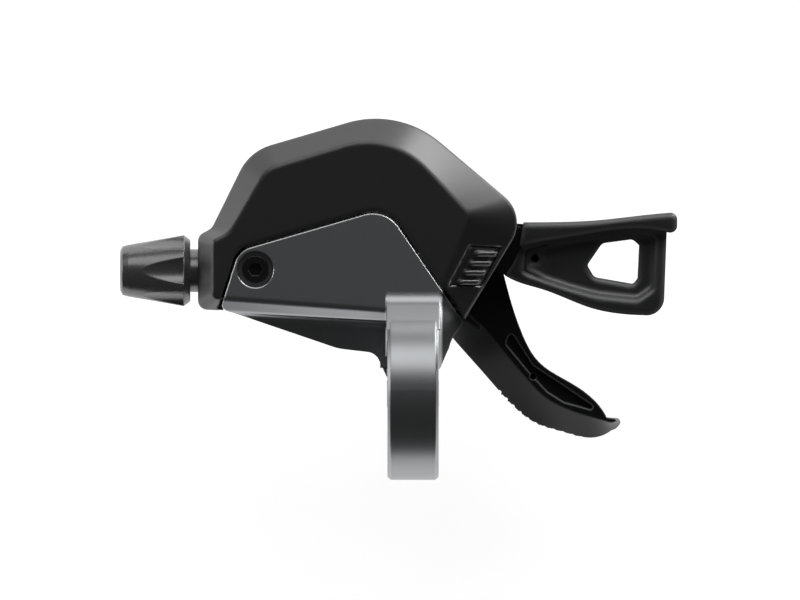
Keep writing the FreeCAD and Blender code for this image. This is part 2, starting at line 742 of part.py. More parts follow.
def upper_cover():
    """Moulded top cover: bevelled shell, adjuster boss, screw posts, lever side open."""
    shoulder = TOP_Z - BEVEL_DROP
    shell = bevelled(BODY_CORNERS, TOP_CORNERS, SPLIT_Z, shoulder, TOP_Z)
    cavity_outer = inset(BODY_CORNERS, COVER_WALL)
    cavity_top = inset(TOP_CORNERS, COVER_WALL / 2)
    for corners, left in ((cavity_outer, CAVITY_LEFT), (cavity_top, CAVITY_LEFT_TOP)):
        corners[:len(left)] = left
        corners[-1] = (corners[-1][0], left[0][1], left[0][2])
    cavity = bevelled(cavity_outer, cavity_top, SPLIT_Z - OVERRUN, shoulder - COVER_WALL / 2,
                      TOP_Z - COVER_WALL)
    shell = shell.cut(cavity)
    shell = shell.cut(notch())
    boss = rod(BOSS_FACE_X + BOSS_START, BOSS_INNER_X, BOSS_DIAMETER / 2)
    shell = shell.fuse(boss.cut(rear_room()))
    for at in COVER_SCREWS:
        pillar = post(at, POST_DIAMETER / 2, SPLIT_Z, TOP_Z - COVER_WALL)
        shell = shell.fuse(pillar.common(bevelled(BODY_CORNERS, TOP_CORNERS, SPLIT_Z, shoulder, TOP_Z)))
    holes = [boss_bore(), cap_block(CAP_CLEARANCE, -CAP_ROOM, OVERRUN)]
    screw_end = FLOOR_Z + COVER_SCREW_HEAD_HEIGHT + COVER_SCREW_LENGTH
    for at in COVER_SCREWS:
        holes.append(post(at, COVER_SCREW_DIAMETER / 2, SPLIT_Z - OVERRUN, screw_end + STACK_GAP))
    return shell.cut(holes).removeSplitter()


def lower_cover():
    """Moulded tray under the mechanism, with a slot for the release arm."""
    top = SPLIT_Z - COVER_JOINT_GAP
    shell = prism(LOWER_CORNERS, FLOOR_Z, top)
    foot_edges = [e for e in shell.Edges if e.BoundBox.ZMax < FLOOR_Z + THREAD_FIT]
    shell = shell.makeChamfer(LOWER_CHAMFER, foot_edges)
    shell = shell.cut(prism(inset(LOWER_CORNERS, FLOOR_WALL), FLOOR_Z + FLOOR_WALL, top + OVERRUN))
    for at in COVER_SCREWS:
        pillar = post(at, POST_DIAMETER / 2, FLOOR_Z, top)
        shell = shell.fuse(pillar)
    low = FLOOR_Z - OVERRUN
    head_top = FLOOR_Z + COVER_SCREW_HEAD_HEIGHT
    holes = [post(AXLE_AT, sleeve_radius + STACK_GAP, low, FLOOR_Z + FLOOR_WALL + OVERRUN)]
    for at in COVER_SCREWS:
        holes.append(post(at, COVER_SCREW_DIAMETER / 2 + THREAD_FIT, low, top + OVERRUN))
        holes.append(post(at, COVER_SCREW_HEAD / 2 + THREAD_FIT, low, head_top))
    slot = [polar(radius, angle) for radius, angle in RELEASE_SLOT]
    holes.append(slab(slot, release_under - STACK_GAP * 2, release_top + STACK_GAP * 2))
    return shell.cut(holes).removeSplitter()


def cover_screws():
    """Three small screws that come up through the lower cover."""
    screws = []
    for at in COVER_SCREWS:
        head_top = FLOOR_Z + COVER_SCREW_HEAD_HEIGHT
        head = post(at, COVER_SCREW_HEAD / 2, FLOOR_Z + COVER_SCREW_SINK, head_top)
        shank = post(at, COVER_SCREW_DIAMETER / 2, head_top, head_top + COVER_SCREW_LENGTH)
        socket = hexagon(at, COVER_SCREW_SOCKET, FLOOR_Z, FLOOR_Z + COVER_SCREW_SOCKET_DEPTH)
        screws.append(head.fuse(shank).cut(socket))
    return Part.Compound(screws)


def base_plate(corners, low, axle_hole):
    """Pressed plate with holes for axle, pawl pin and rivets, clear of the cover posts."""
    high = low + BASE_PLATE_THICKNESS
    places = [(AXLE_AT, axle_hole), (hold_pivot, PAWL_PIN_DIAMETER / 2)]
    places += [(at, RIVET_DIAMETER / 2) for at in PILLARS]
    places += [(at, POST_DIAMETER / 2 + STACK_GAP) for at in COVER_SCREWS]
    holes = [post(at, radius, low - OVERRUN, high + OVERRUN) for at, radius in places]
    return prism(corners, low, high).cut(holes)


def upper_base_plate():
    """Pressed steel plate that carries the axle, the bracket and the pillars."""
    left = BOSS_INNER_X + STACK_GAP
    aside, front_y, front_radius = UPPER_PLATE_FRONT
    corners = [(left, y, radius) for y, radius in UPPER_PLATE_LEFT]
    corners.append((hold_pivot[0] + aside, front_y, front_radius))
    plate = base_plate(corners + UPPER_PLATE_RIGHT, base_under, axle_radius)
    low = base_under - OVERRUN
    high = BASE_PLATE_TOP + OVERRUN
    screw_hole = post(BRACKET_SCREW_AT, SCREW_DIAMETER / 2, low, high)
    pin_hole = post(LOCATING_PIN_AT, LOCATING_PIN_DIAMETER / 2, low, high)
    return plate.cut([screw_hole, pin_hole])


def lower_base_plate():
    """Second pressed plate, at the foot of the pillars."""
    left = hold_pivot[0] - PAWL_PIN_DIAMETER / 2 - PLATE_EDGE
    corners = [(left + aside, y, radius) for aside, y, radius in LOWER_PLATE_LEFT]
    return base_plate(corners + LOWER_PLATE_RIGHT, lower_plate_under, sleeve_radius + RUN_FIT)


def plate_pillars():
    """Three shouldered pillars riveted between the two base plates."""
    pillars = []
    for at in PILLARS:
        body = post(at, PILLAR_DIAMETER / 2, lower_plate_top, base_under)
        rivet = post(at, RIVET_DIAMETER / 2, lower_plate_under - RIVET_HEAD, BASE_PLATE_TOP + RIVET_HEAD)
        pillars.append(body.fuse(rivet))
    return Part.Compound(pillars)


def main_axle():
    """Axle bolt with its socket head below the main lever."""
    foot = axle_head_top - AXLE_HEAD_HEIGHT
    shank = post(AXLE_AT, axle_radius, axle_head_top, BASE_PLATE_TOP + WASHER_THICKNESS + NUT_HEIGHT)
    head = post(AXLE_AT, AXLE_HEAD_DIAMETER / 2, foot, axle_head_top)
    foot_rim = [e for e in head.Edges if e.BoundBox.ZMax < foot + THREAD_FIT]
    head = head.makeChamfer(AXLE_HEAD_CHAMFER, foot_rim)
    socket = hexagon(AXLE_AT, AXLE_SOCKET, foot - OVERRUN, foot + AXLE_SOCKET_DEPTH)
    return shank.fuse(head).cut(socket)


def ring_at(outer, inner, low, high):
    """Flat ring about the main axle."""
    return post(AXLE_AT, outer, low, high).cut(post(AXLE_AT, inner, low - OVERRUN, high + OVERRUN))


def axle_nut():
    """Nut on the upper end of the axle."""
    low = BASE_PLATE_TOP + WASHER_THICKNESS
    nut = hexagon(AXLE_AT, NUT_ACROSS_FLATS, low, low + NUT_HEIGHT)
    return nut.cut(post(AXLE_AT, axle_radius, low - OVERRUN, low + NUT_HEIGHT + OVERRUN))


def axle_washers():
    """Washer under the nut and washer on the axle head."""
    upper = ring_at(WASHER_DIAMETER / 2, axle_radius, BASE_PLATE_TOP, BASE_PLATE_TOP + WASHER_THICKNESS)
    lower = ring_at(WASHER_DIAMETER / 2, axle_radius, axle_head_top, main_arm_under)
    return Part.Compound([upper, lower])


def cable_drum():
    """Winding drum with a cable groove, a spring recess and a nipple pocket."""
    rim = groove_radius + DRUM_FLANGE
    inner = axle_radius + RUN_FIT
    floor = groove_radius - CABLE_DIAMETER / 2
    recess = drum_top - DRUM_RECESS_DEPTH
    profile = [
        (inner, drum_top),
        (DRUM_RECESS_INNER, drum_top),
        (DRUM_RECESS_INNER, recess),
        (DRUM_RECESS_OUTER, recess),
        (DRUM_RECESS_OUTER, drum_top),
        (rim, drum_top),
        (rim, cable_z + CABLE_DIAMETER * GROOVE_MOUTH),
        (floor, cable_z + CABLE_DIAMETER * GROOVE_BED),
        (floor, cable_z - CABLE_DIAMETER * GROOVE_BED),
        (rim, cable_z - CABLE_DIAMETER * GROOVE_MOUTH),
        (rim, drum_under),
        (hub_radius, drum_under),
        (hub_radius, feed_under),
        (inner, feed_under),
    ]
    points = [V(AXLE_AT[0] + radius, AXLE_AT[1], z) for radius, z in profile]
    section = Part.Face(Part.makePolygon(points + points[:1]))
    drum = section.revolve(V(AXLE_AT[0], AXLE_AT[1], 0), V(0, 0, 1), 360)
    pocket = post(polar(groove_radius - DRUM_FLANGE, NIPPLE_ANGLE), NIPPLE_POCKET_DIAMETER / 2,
                  drum_under + NIPPLE_POCKET_FLOOR, drum_top + OVERRUN)
    return drum.cut(pocket)


def ratchet_wheel(phase, low, high):
    """Saw-toothed wheel, with one gap at the phase angle and a gap every pitch."""
    points = []
    count = round(360 / TOOTH_PITCH)
    for i in range(count):
        gap = phase + i * 360 / count
        x, y = polar(TOOTH_TIP_RADIUS - TOOTH_HEIGHT, gap)
        points.append(V(x, y, low))
        x, y = polar(TOOTH_TIP_RADIUS, gap + STEEP_ANGLE)
        points.append(V(x, y, low))
    points.append(points[0])
    wheel = Part.Face(Part.makePolygon(points)).extrude(V(0, 0, high - low))
    return wheel.cut(post(AXLE_AT, hub_radius, low - OVERRUN, high + OVERRUN))


def along_pawl(pivot, tip, share, aside):
    """Point at a share of the way from pivot to tip, moved aside from the axle."""
    along = V(tip[0] - pivot[0], tip[1] - pivot[1], 0)
    side = V(-along.y, along.x, 0)
    if side.dot(V(AXLE_AT[0] - tip[0], AXLE_AT[1] - tip[1], 0)) < 0:
        side = side * -1
    side.normalize()
    point = V(pivot[0], pivot[1], 0) + along * share - side * aside
    return (point.x, point.y)


def pawl(pivot, tip, low, high, heel):
    """Pawl with a rounded eye, a straight flank and a wedge-shaped nose."""
    eye = post(pivot, PAWL_WIDTH / 2, low, high)
    outline = [
        (0.0, -PAWL_WIDTH * PAWL_EYE_REAR),
        (PAWL_HEEL_SHARE, heel),
        (1.0, 0.0),
        (1.0, PAWL_NOSE),
        PAWL_BACK,
        (0.0, PAWL_WIDTH * PAWL_EYE_FRONT),
    ]
    points = [along_pawl(pivot, tip, share, aside) for share, aside in outline]
    body = eye.fuse(slab(points, low, high))
    hole = post(pivot, PAWL_PIN_DIAMETER / 2 + RUN_FIT, low - OVERRUN, high + OVERRUN)
    return body.cut(hole).removeSplitter()


def turned_about(point, centre, angle):
    """Point in plan turned about another point."""
    turn = math.radians(angle)
    dx = point[0] - centre[0]
    dy = point[1] - centre[1]
    return (centre[0] + dx * math.cos(turn) - dy * math.sin(turn),
            centre[1] + dx * math.sin(turn) + dy * math.cos(turn))


def angle_about_axle(point):
    """Angle in plan of a point seen from the axle."""
    return math.degrees(math.atan2(point[1] - AXLE_AT[1], point[0] - AXLE_AT[0]))


hold_pivot = polar(HOLD_PIVOT_RADIUS, HOLD_PIVOT_ANGLE)
hold_tip = polar(TOOTH_TIP_RADIUS - TOOTH_HEIGHT + PAWL_HOP_GAP, HOLD_TIP_ANGLE)
feed_pivot = polar(FEED_PIVOT_RADIUS, FEED_PIVOT_ANGLE)
feed_tip = polar(TOOTH_TIP_RADIUS + FEED_LIFT, FEED_TIP_ANGLE)
feed_tip_low = turned_about(feed_tip, feed_pivot, FEED_DROP)
hold_phase = HOLD_TIP_ANGLE + TIP_PLAY_ANGLE
feed_phase = angle_about_axle(feed_tip_low) + TIP_PLAY_ANGLE
lift_pin = along_pawl(hold_pivot, hold_tip, LIFT_PIN_SHARE, LIFT_PIN_ASIDE)


def hold_pawl_pin():
    """Fixed pin of the holding pawl, held in both base plates."""
    return post(hold_pivot, PAWL_PIN_DIAMETER / 2, lower_plate_under, BASE_PLATE_TOP)


def feed_pawl_pin():
    """Pin of the feed pawl, riveted in the pawl carrier."""
    return post(feed_pivot, PAWL_PIN_DIAMETER / 2, carrier_under, index_under - PAWL_PLAY)


def pawl_carrier():
    """Plate on the drive sleeve that takes the feed pawl round with the main lever."""
    disc_radius = CARRIER_DISC_DIAMETER / 2
    lobe_radius = PAWL_PIN_DIAMETER / 2 + CARRIER_LOBE_WALL
    disc = post(AXLE_AT, disc_radius, carrier_under, carrier_top)
    lobe = post(feed_pivot, lobe_radius, carrier_under, carrier_top)
    root = disc_radius - ARM_BITE
    bridge_corners = [
        polar(root, FEED_PIVOT_ANGLE + CARRIER_ROOT_HALF),
        polar(root, FEED_PIVOT_ANGLE - CARRIER_ROOT_HALF),
        polar(FEED_PIVOT_RADIUS, FEED_PIVOT_ANGLE - CARRIER_LOBE_HALF),
        polar(FEED_PIVOT_RADIUS, FEED_PIVOT_ANGLE + CARRIER_LOBE_HALF),
    ]
    bridge = slab(bridge_corners, carrier_under, carrier_top)
    low = carrier_under - OVERRUN
    high = carrier_top + OVERRUN
    sleeve_hole = post(AXLE_AT, sleeve_radius, low, high)
    pin_hole = post(feed_pivot, PAWL_PIN_DIAMETER / 2, low, high)
    return disc.fuse([lobe, bridge]).cut([sleeve_hole, pin_hole]).removeSplitter()


def drive_sleeve():
    """Sleeve that joins the main lever to the pawl carrier through the lower plates."""
    return ring_at(sleeve_radius, axle_radius + RUN_FIT, main_arm_under, carrier_top)


def cam_lobe():
    """Outline of the release arm's cam, which lifts the holding pawl by its pin."""
    gap = LIFT_PIN_DIAMETER / 2 + CAM_GAP
    path = []
    for i in range(CAM_STEPS + 1):
        share = i / CAM_STEPS
        lifted = turned_about(lift_pin, hold_pivot, -HOLD_LIFT * share)
        path.append(turned_about(lifted, AXLE_AT, RELEASE_TURN * share))
    edge = []
    for i in range(CAM_STEPS + 1):
        before = path[max(i - 1, 0)]
        after = path[min(i + 1, CAM_STEPS)]
        run = V(after[0] - before[0], after[1] - before[1], 0)
        run.normalize()
        edge.append((path[i][0] - run.y * gap, path[i][1] + run.x * gap))
    start = angle_about_axle(edge[0])
    end = angle_about_axle(edge[-1])
    root = RELEASE_HUB_DIAMETER / 2 - ARM_BITE
    lead = math.hypot(edge[0][0] - AXLE_AT[0], edge[0][1] - AXLE_AT[1])
    nose = math.hypot(edge[-1][0] - AXLE_AT[0], edge[-1][1] - AXLE_AT[1])
    front = [polar(root, start - CAM_FOOT_LEAD), polar(lead, start - CAM_LEAD)]
    back = [polar(nose, end + CAM_NOSE), polar(root, end + CAM_FOOT_TAIL)]
    return front + edge + back


def release_arm():
    """Steel arm of the release lever, with a cam that lifts the holding pawl."""
    low = release_under
    high = release_top
    hub = RELEASE_HUB_DIAMETER / 2
    root = hub - ARM_BITE
    waist = RELEASE_BLADE_WAIST_RADIUS
    outline = [
        polar(root, RELEASE_BLADE_ROOT[0]),
        polar(waist, RELEASE_BLADE_WAIST[0]),
        polar(RELEASE_ARM_REACH, RELEASE_BLADE_END[0]),
        polar(RELEASE_ARM_REACH, RELEASE_BLADE_END[1]),
        polar(waist, RELEASE_BLADE_WAIST[1]),
        polar(root, RELEASE_BLADE_ROOT[1]),
    ]
    disc = post(AXLE_AT, hub, low, high)
    body = disc.fuse([slab(outline, low, high), slab(cam_lobe(), low, high)])
    sleeve_hole = post(AXLE_AT, sleeve_radius + RUN_FIT, low - OVERRUN, high + OVERRUN)
    lock_hole = post(RELEASE_SOCKET_AT, RELEASE_SOCKET_DIAMETER / 2 + LOCK_HOLE_WALL,
                     low - OVERRUN, high + OVERRUN)
    return body.cut([sleeve_hole, lock_hole]).removeSplitter()


RELEASE_FRONT = [(17.76, 26.88), (21.9, 26.9), (29.6, 27.2), (35.4, 27.84), (41.2, 28.42)]
RELEASE_TIP = [(42.12, 28.1), (42.4, 27.4), (42.4, 26.3), (42.05, 25.5)]
RELEASE_BEHIND = [(41.0, 25.25), (33.1, 25.76), (25.0, 24.5), (20.8, 23.84), (17.1, 23.1)]
RELEASE_REAR = [
    (14.72, 18.4), (17.4, 17.1), (20.5, 16.2), (24.5, 14.7),
    (28.64, 13.1), (32.8, 12.24), (37.0, 11.95),
]
RELEASE_HEEL = [(40.35, 14.6), (39.5, 12.75)]
RELEASE_FRAME_FRONT = [(21.0, 26.0), (40.8, 26.6)]
RELEASE_POCKET = [
    (18.0, 22.4, 0.8),
    (20.9, 23.2, 1.0),
    (25.1, 23.9, 1.0),
    (33.1, 25.1, 1.0),
    (38.9, 24.6, 0.8),
    (38.6, 16.3, 0.8),
    (36.0, 14.5, 1.0),
    (29.6, 15.2, 2.0),
    (25.4, 16.3, 2.0),
    (21.4, 17.6, 2.0),
    (17.8, 19.0, 0.8),
]
RELEASE_WINDOW = [
    (30.4, 23.5, 1.2),
    (35.3, 24.15, 0.9),
    (36.35, 23.2, 0.3),
    (36.1, 17.9, 0.4),
    (35.4, 17.0, 0.6),
    (29.1, 18.1, 1.2),
    (28.0, 20.0, 0.6),
]
RELEASE_SOCKET_AT = (19.6, 21.1)
RELEASE_ROOT_MID = (17.0, 22.4)


def spline(points, z):
    """Smooth curve through points in plan at a level."""
    curve = Part.BSplineCurve()
    curve.interpolate([V(x, y, z) for x, y in points])
    return curve.toShape()


def line(a, b, z):
    """Straight edge in plan at a level."""
    return Part.LineSegment(V(a[0], a[1], z), V(b[0], b[1], z)).toShape()


def arc3(a, b, c, z):
    """Arc through three points in plan at a level."""
    return Part.Arc(*[V(p[0], p[1], z) for p in (a, b, c)]).toShape()


def release_pad():
    """Moulded release lever: finger wall in front, open frame and web behind."""
    z0 = RELEASE_PAD_BOTTOM
    front = [
        spline(RELEASE_FRONT, z0),
        arc3(RELEASE_FRONT[-1], RELEASE_TIP[0], RELEASE_TIP[1], z0),
        line(RELEASE_TIP[1], RELEASE_TIP[2], z0),
        arc3(RELEASE_TIP[2], RELEASE_TIP[3], RELEASE_BEHIND[0], z0),
        spline(RELEASE_BEHIND, z0),
        line(RELEASE_BEHIND[-1], RELEASE_FRONT[0], z0),
    ]
    wall = Part.Face(Part.Wire(front)).extrude(V(0, 0, RELEASE_WALL_TOP - z0))
    frame_edges = [
        line(RELEASE_FRONT[0], RELEASE_FRAME_FRONT[0], z0),
        line(RELEASE_FRAME_FRONT[0], RELEASE_FRAME_FRONT[1], z0),
        line(RELEASE_FRAME_FRONT[1], RELEASE_HEEL[0], z0),
        arc3(RELEASE_HEEL[0], RELEASE_HEEL[1], RELEASE_REAR[-1], z0),
        spline(RELEASE_REAR, z0),
        arc3(RELEASE_REAR[0], RELEASE_ROOT_MID, RELEASE_FRONT[0], z0),
    ]
    frame_face = Part.Face(Part.Wire(Part.__sortEdges__(frame_edges)))
    frame = frame_face.extrude(V(0, 0, RELEASE_FRAME_TOP - z0))
    web_top = release_top + RELEASE_SKIN
    frame = frame.cut(prism(RELEASE_POCKET, web_top, RELEASE_FRAME_TOP + OVERRUN))
    window = prism(RELEASE_WINDOW, z0 - OVERRUN, RELEASE_WALL_TOP + OVERRUN)
    socket = post(RELEASE_SOCKET_AT, RELEASE_SOCKET_DIAMETER / 2, z0 + RELEASE_SOCKET_FLOOR,
                  RELEASE_FRAME_TOP + OVERRUN)
    return wall.fuse(frame).cut([window, socket, release_arm()]).removeSplitter()


MAIN_OUTER = [
    (4.9, 10.2), (6.78, 7.84), (11.2, 2.85), (15.5, -2.0),
    (19.84, -5.44), (24.16, -6.83), (28.48, -7.79), (32.0, -6.6),
]
MAIN_TIP = [(33.0, -6.05), (33.42, -5.4), (33.25, -4.8), (32.7, -4.6)]
MAIN_INNER = [
    (31.2, -4.5), (30.37, -3.09), (28.86, -1.38), (25.22, 1.2),
    (20.32, 4.42), (17.44, 9.34), (15.6, 14.8), (13.8, 21.5),
]
MAIN_RIDGE = [
    (5.6, 13.4), (8.2, 12.6), (11.0, 10.3), (14.72, 5.92),
    (18.56, 1.44), (21.12, -1.12), (24.16, -2.88), (27.4, -4.05),
    (31.2, -5.15),
]
MAIN_RIDGE_TIP = [(32.0, -5.3), (32.6, -5.15), (32.66, -4.85), (32.3, -4.65)]
MAIN_ROOT_MID = (8.6, 17.0)
MAIN_HOLE_AT = (19.33, 2.08)
MAIN_ARM = [
    (8.7, 22.8), (13.2, 16.0), (13.2, 11.8), (10.8, 9.8),
    (8.2, 11.4), (1.6, 16.1),
]
MAIN_POCKET = [
    (15.7, 9.5, 0.5),
    (19.3, 3.9, 1.0),
    (24.6, 0.4, 1.0),
    (29.0, -2.6, 0.3),
    (28.8, -3.3, 0.3),
    (24.3, -2.1, 1.0),
    (21.6, -0.4, 1.0),
    (18.9, 2.5, 1.0),
    (14.9, 7.3, 0.5),
]


def main_arm():
    """Steel arm of the main lever, keyed on the drive sleeve."""
    low = main_arm_under
    high = main_arm_top
    hub = MAIN_HUB_DIAMETER / 2
    root = [polar(hub - ARM_BITE, angle) for angle in MAIN_BLADE_ROOT]
    blade = slab(root[:1] + MAIN_ARM + root[1:], low, high)
    sleeve_hole = post(AXLE_AT, sleeve_radius, low - OVERRUN, high + OVERRUN)
    return post(AXLE_AT, hub, low, high).fuse(blade).cut(sleeve_hole).removeSplitter()


def lever_outline(outer, tip, z):
    """Closed outline of the thumb lever at a level, from its outer line and its tip."""
    return Part.Wire([
        spline(outer, z),
        arc3(outer[-1], tip[0], tip[1], z),
        arc3(tip[1], tip[2], tip[3], z),
        line(tip[3], MAIN_INNER[0], z),
        spline(MAIN_INNER, z),
        arc3(MAIN_INNER[-1], MAIN_ROOT_MID, outer[0], z),
    ])


def main_pad():
    """Moulded thumb lever: leaning thumb face, ridge, recessed web and toothed edge."""
    low = MAIN_PAD_BOTTOM
    top = FLOOR_Z - STACK_GAP
    foot_wire = lever_outline(MAIN_OUTER, MAIN_TIP, low)
    foot = Part.Face(foot_wire).extrude(V(0, 0, MAIN_EDGE_Z - low))
    edge_wire = lever_outline(MAIN_OUTER, MAIN_TIP, MAIN_EDGE_Z)
    ridge_wire = lever_outline(MAIN_RIDGE, MAIN_RIDGE_TIP, top)
    body = foot.fuse(Part.makeLoft([edge_wire, ridge_wire], True, True))
    cuts = [prism(MAIN_POCKET, top - MAIN_POCKET_DEPTH, top + OVERRUN)]
    cuts.append(post(MAIN_HOLE_AT, MAIN_HOLE_DIAMETER / 2, top - MAIN_HOLE_DEPTH, top + OVERRUN))
    edge = spline(MAIN_OUTER, low)
    span = edge.LastParameter - edge.FirstParameter
    for i in range(TOOTH_CUTS):
        at = edge.valueAt(edge.FirstParameter + span * (TOOTH_CUT_START + TOOTH_CUT_STEP * i))
        cuts.append(post((at.x, at.y - TOOTH_CUT_SINK), TOOTH_CUT_RADIUS, low - OVERRUN,
                         MAIN_EDGE_Z + TOOTH_CUT_RISE))
    cuts.append(main_arm())
    return body.cut(cuts).removeSplitter()


def adjuster_knob():
    """Tapered barrel with six flutes and a smooth neck, made about the cable line."""
    end = BOSS_FACE_X - KNOB_GAP - KNOB_LENGTH
    rear = end + KNOB_LENGTH
    small = KNOB_SMALL_DIAMETER / 2
    large = KNOB_LARGE_DIAMETER / 2
    neck_radius = KNOB_NECK_DIAMETER / 2
    neck_end = BOSS_FACE_X + KNOB_NECK_REACH
    profile = [V(end, 0, 0)]
    profile += [V(end + along, small - drop, 0) for along, drop in KNOB_NOSE]
    profile += [
        V(rear - KNOB_HEEL[0], large, 0),
        V(rear, large - KNOB_HEEL[1], 0),
        V(rear, neck_radius, 0),
        V(neck_end, neck_radius, 0),
        V(neck_end, 0, 0),
    ]
    body = Part.Face(Part.makePolygon(profile + profile[:1])).revolve(V(0, 0, 0), V(1, 0, 0), 360)
    cuts = []
    for i in range(KNOB_FLUTES):
        flute = Part.makeCylinder(FLUTE_RADIUS, KNOB_LENGTH - FLUTE_START - FLUTE_END,
                                  V(end + FLUTE_START, 0, FLUTE_FLOOR + FLUTE_RADIUS), V(1, 0, 0))
        flute.rotate(V(0, 0, 0), V(1, 0, 0), i * 360 / KNOB_FLUTES)
        cuts.append(flute)
    bolt_start = end + HOUSING_SOCKET_DEPTH
    cuts.append(rod(end - OVERRUN, bolt_start, HOUSING_SOCKET_DIAMETER / 2, 0, 0))
    cuts.append(rod(bolt_start - BORE_LAP, neck_end + OVERRUN, ADJUSTER_BOLT_DIAMETER / 2, 0, 0))
    body = body.cut(cuts)
    body.translate(V(0, CABLE_Y, cable_z))
    return body.removeSplitter()


def adjuster_bolt():
    """Hollow threaded bolt held in the knob, screwed into the bush of the boss."""
    start = BOSS_FACE_X - KNOB_GAP - KNOB_LENGTH + HOUSING_SOCKET_DEPTH
    bolt = rod(start, BOSS_INNER_X - BOLT_END_GAP, ADJUSTER_BOLT_DIAMETER / 2)
    return bolt.cut(rod(start - OVERRUN, BOSS_INNER_X + OVERRUN, ADJUSTER_BORE / 2))


def adjuster_bush():
    """Threaded bush fixed in the boss of the upper cover."""
    start = BOSS_INNER_X - BUSH_LENGTH
    thread = rod(start - OVERRUN, BOSS_INNER_X + OVERRUN, ADJUSTER_BOLT_DIAMETER / 2 + THREAD_FIT)
    return rod(start, BOSS_INNER_X, BUSH_DIAMETER / 2).cut(thread)


def detent_ring():
    """Keyed click ring behind the knob's neck; it follows the knob but can't turn."""
    front = BOSS_FACE_X + KNOB_NECK_REACH + RUN_FIT
    rear = front + DETENT_WIDTH
    ring = rod(front, rear, KNOB_NECK_DIAMETER / 2 - RUN_FIT)
    return ring.cut(rod(front - OVERRUN, rear + OVERRUN, ADJUSTER_BOLT_DIAMETER / 2 + RUN_FIT * 2))


def main_return_spring():
    """Torsion coil round the drive sleeve that brings the main lever back."""
    return coil(AXLE_AT, release_top + STACK_GAP + SPRING_SEAT)


def drum_spring():
    """Torsion coil in the recess of the drum that pays the cable out again."""
    return coil(AXLE_AT, drum_top - DRUM_RECESS_DEPTH + SPRING_SEAT + PAWL_PLAY)


def hold_pawl():
    """Pawl that holds the drum against the cable, with the pin it is lifted by."""
    low = index_under + PAWL_PLAY
    body = pawl(hold_pivot, hold_tip, low, low + PAWL_THICKNESS, HOLD_HEEL)
    pin = post(lift_pin, LIFT_PIN_DIAMETER / 2, release_under, low + PAWL_THICKNESS / 2)
    return body.fuse(pin).removeSplitter()


def feed_pawl():
    """Pawl that pushes the drum round, held off its wheel while the lever rests."""
    low = feed_under + PAWL_PLAY
    return pawl(feed_pivot, feed_tip, low, low + PAWL_THICKNESS, FEED_HEEL)


NODES = [
    ("bracket", bracket),
    ("clamp_bolt", clamp_bolt),
    ("bracket_screw", bracket_screw),
    ("upper_cover", upper_cover),
    ("lower_cover", lower_cover),
    ("cover_screws", cover_screws),
    ("cable_hole_cap", cable_hole_cap),
    ("upper_base_plate", upper_base_plate),
    ("lower_base_plate", lower_base_plate),
    ("plate_pillars", plate_pillars),
    ("main_axle", main_axle),
    ("axle_nut", axle_nut),
    ("axle_washers", axle_washers),
    ("cable_drum", cable_drum),
    ("index_wheel", lambda: ratchet_wheel(hold_phase, index_under, drum_under)),
    ("feed_wheel", lambda: ratchet_wheel(feed_phase, feed_under, index_under)),
    ("drum_spring", drum_spring),
    ("hold_pawl", hold_pawl),
    ("hold_pawl_pin", hold_pawl_pin),
    ("feed_pawl", feed_pawl),
    ("feed_pawl_pin", feed_pawl_pin),
    ("pawl_carrier", pawl_carrier),
    ("drive_sleeve", drive_sleeve),
    ("main_return_spring", main_return_spring),
    ("release_arm", release_arm),
    ("release_pad", release_pad),
    ("main_arm", main_arm),
    ("main_pad", main_pad),
    ("adjuster_knob", adjuster_knob),
    ("adjuster_bolt", adjuster_bolt),
    ("adjuster_bush", adjuster_bush),
    ("detent_ring", detent_ring),
]

for node, make in NODES:
    save(node, make())
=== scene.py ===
# %% [markdown]
# A trigger gear shifter for a bicycle handlebar
#
# The frame holds every piece of the shifter at its real size, in metres, with +X along
# the handlebar, +Y forward and +Z out of the flat top of the body. This lesson dresses
# those pieces: it gives each surface its finish and softened edges, adds the small grip
# ribs of the thumb lever and three thin fillings, lights the object softly and looks
# straight down on it.

# %% Load the frame
import bpy
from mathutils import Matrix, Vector


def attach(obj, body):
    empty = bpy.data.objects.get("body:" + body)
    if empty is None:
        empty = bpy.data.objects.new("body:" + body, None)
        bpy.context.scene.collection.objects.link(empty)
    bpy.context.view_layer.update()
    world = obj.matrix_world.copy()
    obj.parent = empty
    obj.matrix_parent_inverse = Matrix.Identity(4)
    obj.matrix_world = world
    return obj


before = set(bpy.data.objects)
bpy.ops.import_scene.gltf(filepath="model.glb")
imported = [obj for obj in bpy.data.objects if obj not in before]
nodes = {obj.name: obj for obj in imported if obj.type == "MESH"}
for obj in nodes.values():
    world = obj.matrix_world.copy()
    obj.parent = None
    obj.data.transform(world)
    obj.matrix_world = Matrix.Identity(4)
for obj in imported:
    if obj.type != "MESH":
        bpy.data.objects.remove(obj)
MM = 0.001


def write_size():
    """Bring the scene's placements up to date."""
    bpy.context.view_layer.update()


write_size()

# %% [markdown]
# The photograph looks down the lever axle from far away: the low levers aren't smaller
# than the high ring. So the camera hangs high above the body with a long lens. Its frame
# is 800 by 600 pixels, and one pixel is 0.16 mm where the cover is. A longer lens would be
# flatter still, but it stands so far off that views from other sides can lose the object.

# %% Camera
MM_PER_PIXEL = 0.16
FRAME_PIXELS = (800, 600)
BORE_PIXEL = (413, 390)
LENS_MM = 1000
SENSOR_MM = 36
FOCUS_LEVEL = 2 * MM
NEAREST = 0.01
FARTHEST = 10

frame_width = FRAME_PIXELS[0] * MM_PER_PIXEL * MM
camera_x = (FRAME_PIXELS[0] / 2 - BORE_PIXEL[0]) * MM_PER_PIXEL * MM
camera_y = (BORE_PIXEL[1] - FRAME_PIXELS[1] / 2) * MM_PER_PIXEL * MM
camera_height = frame_width * LENS_MM / SENSOR_MM + FOCUS_LEVEL

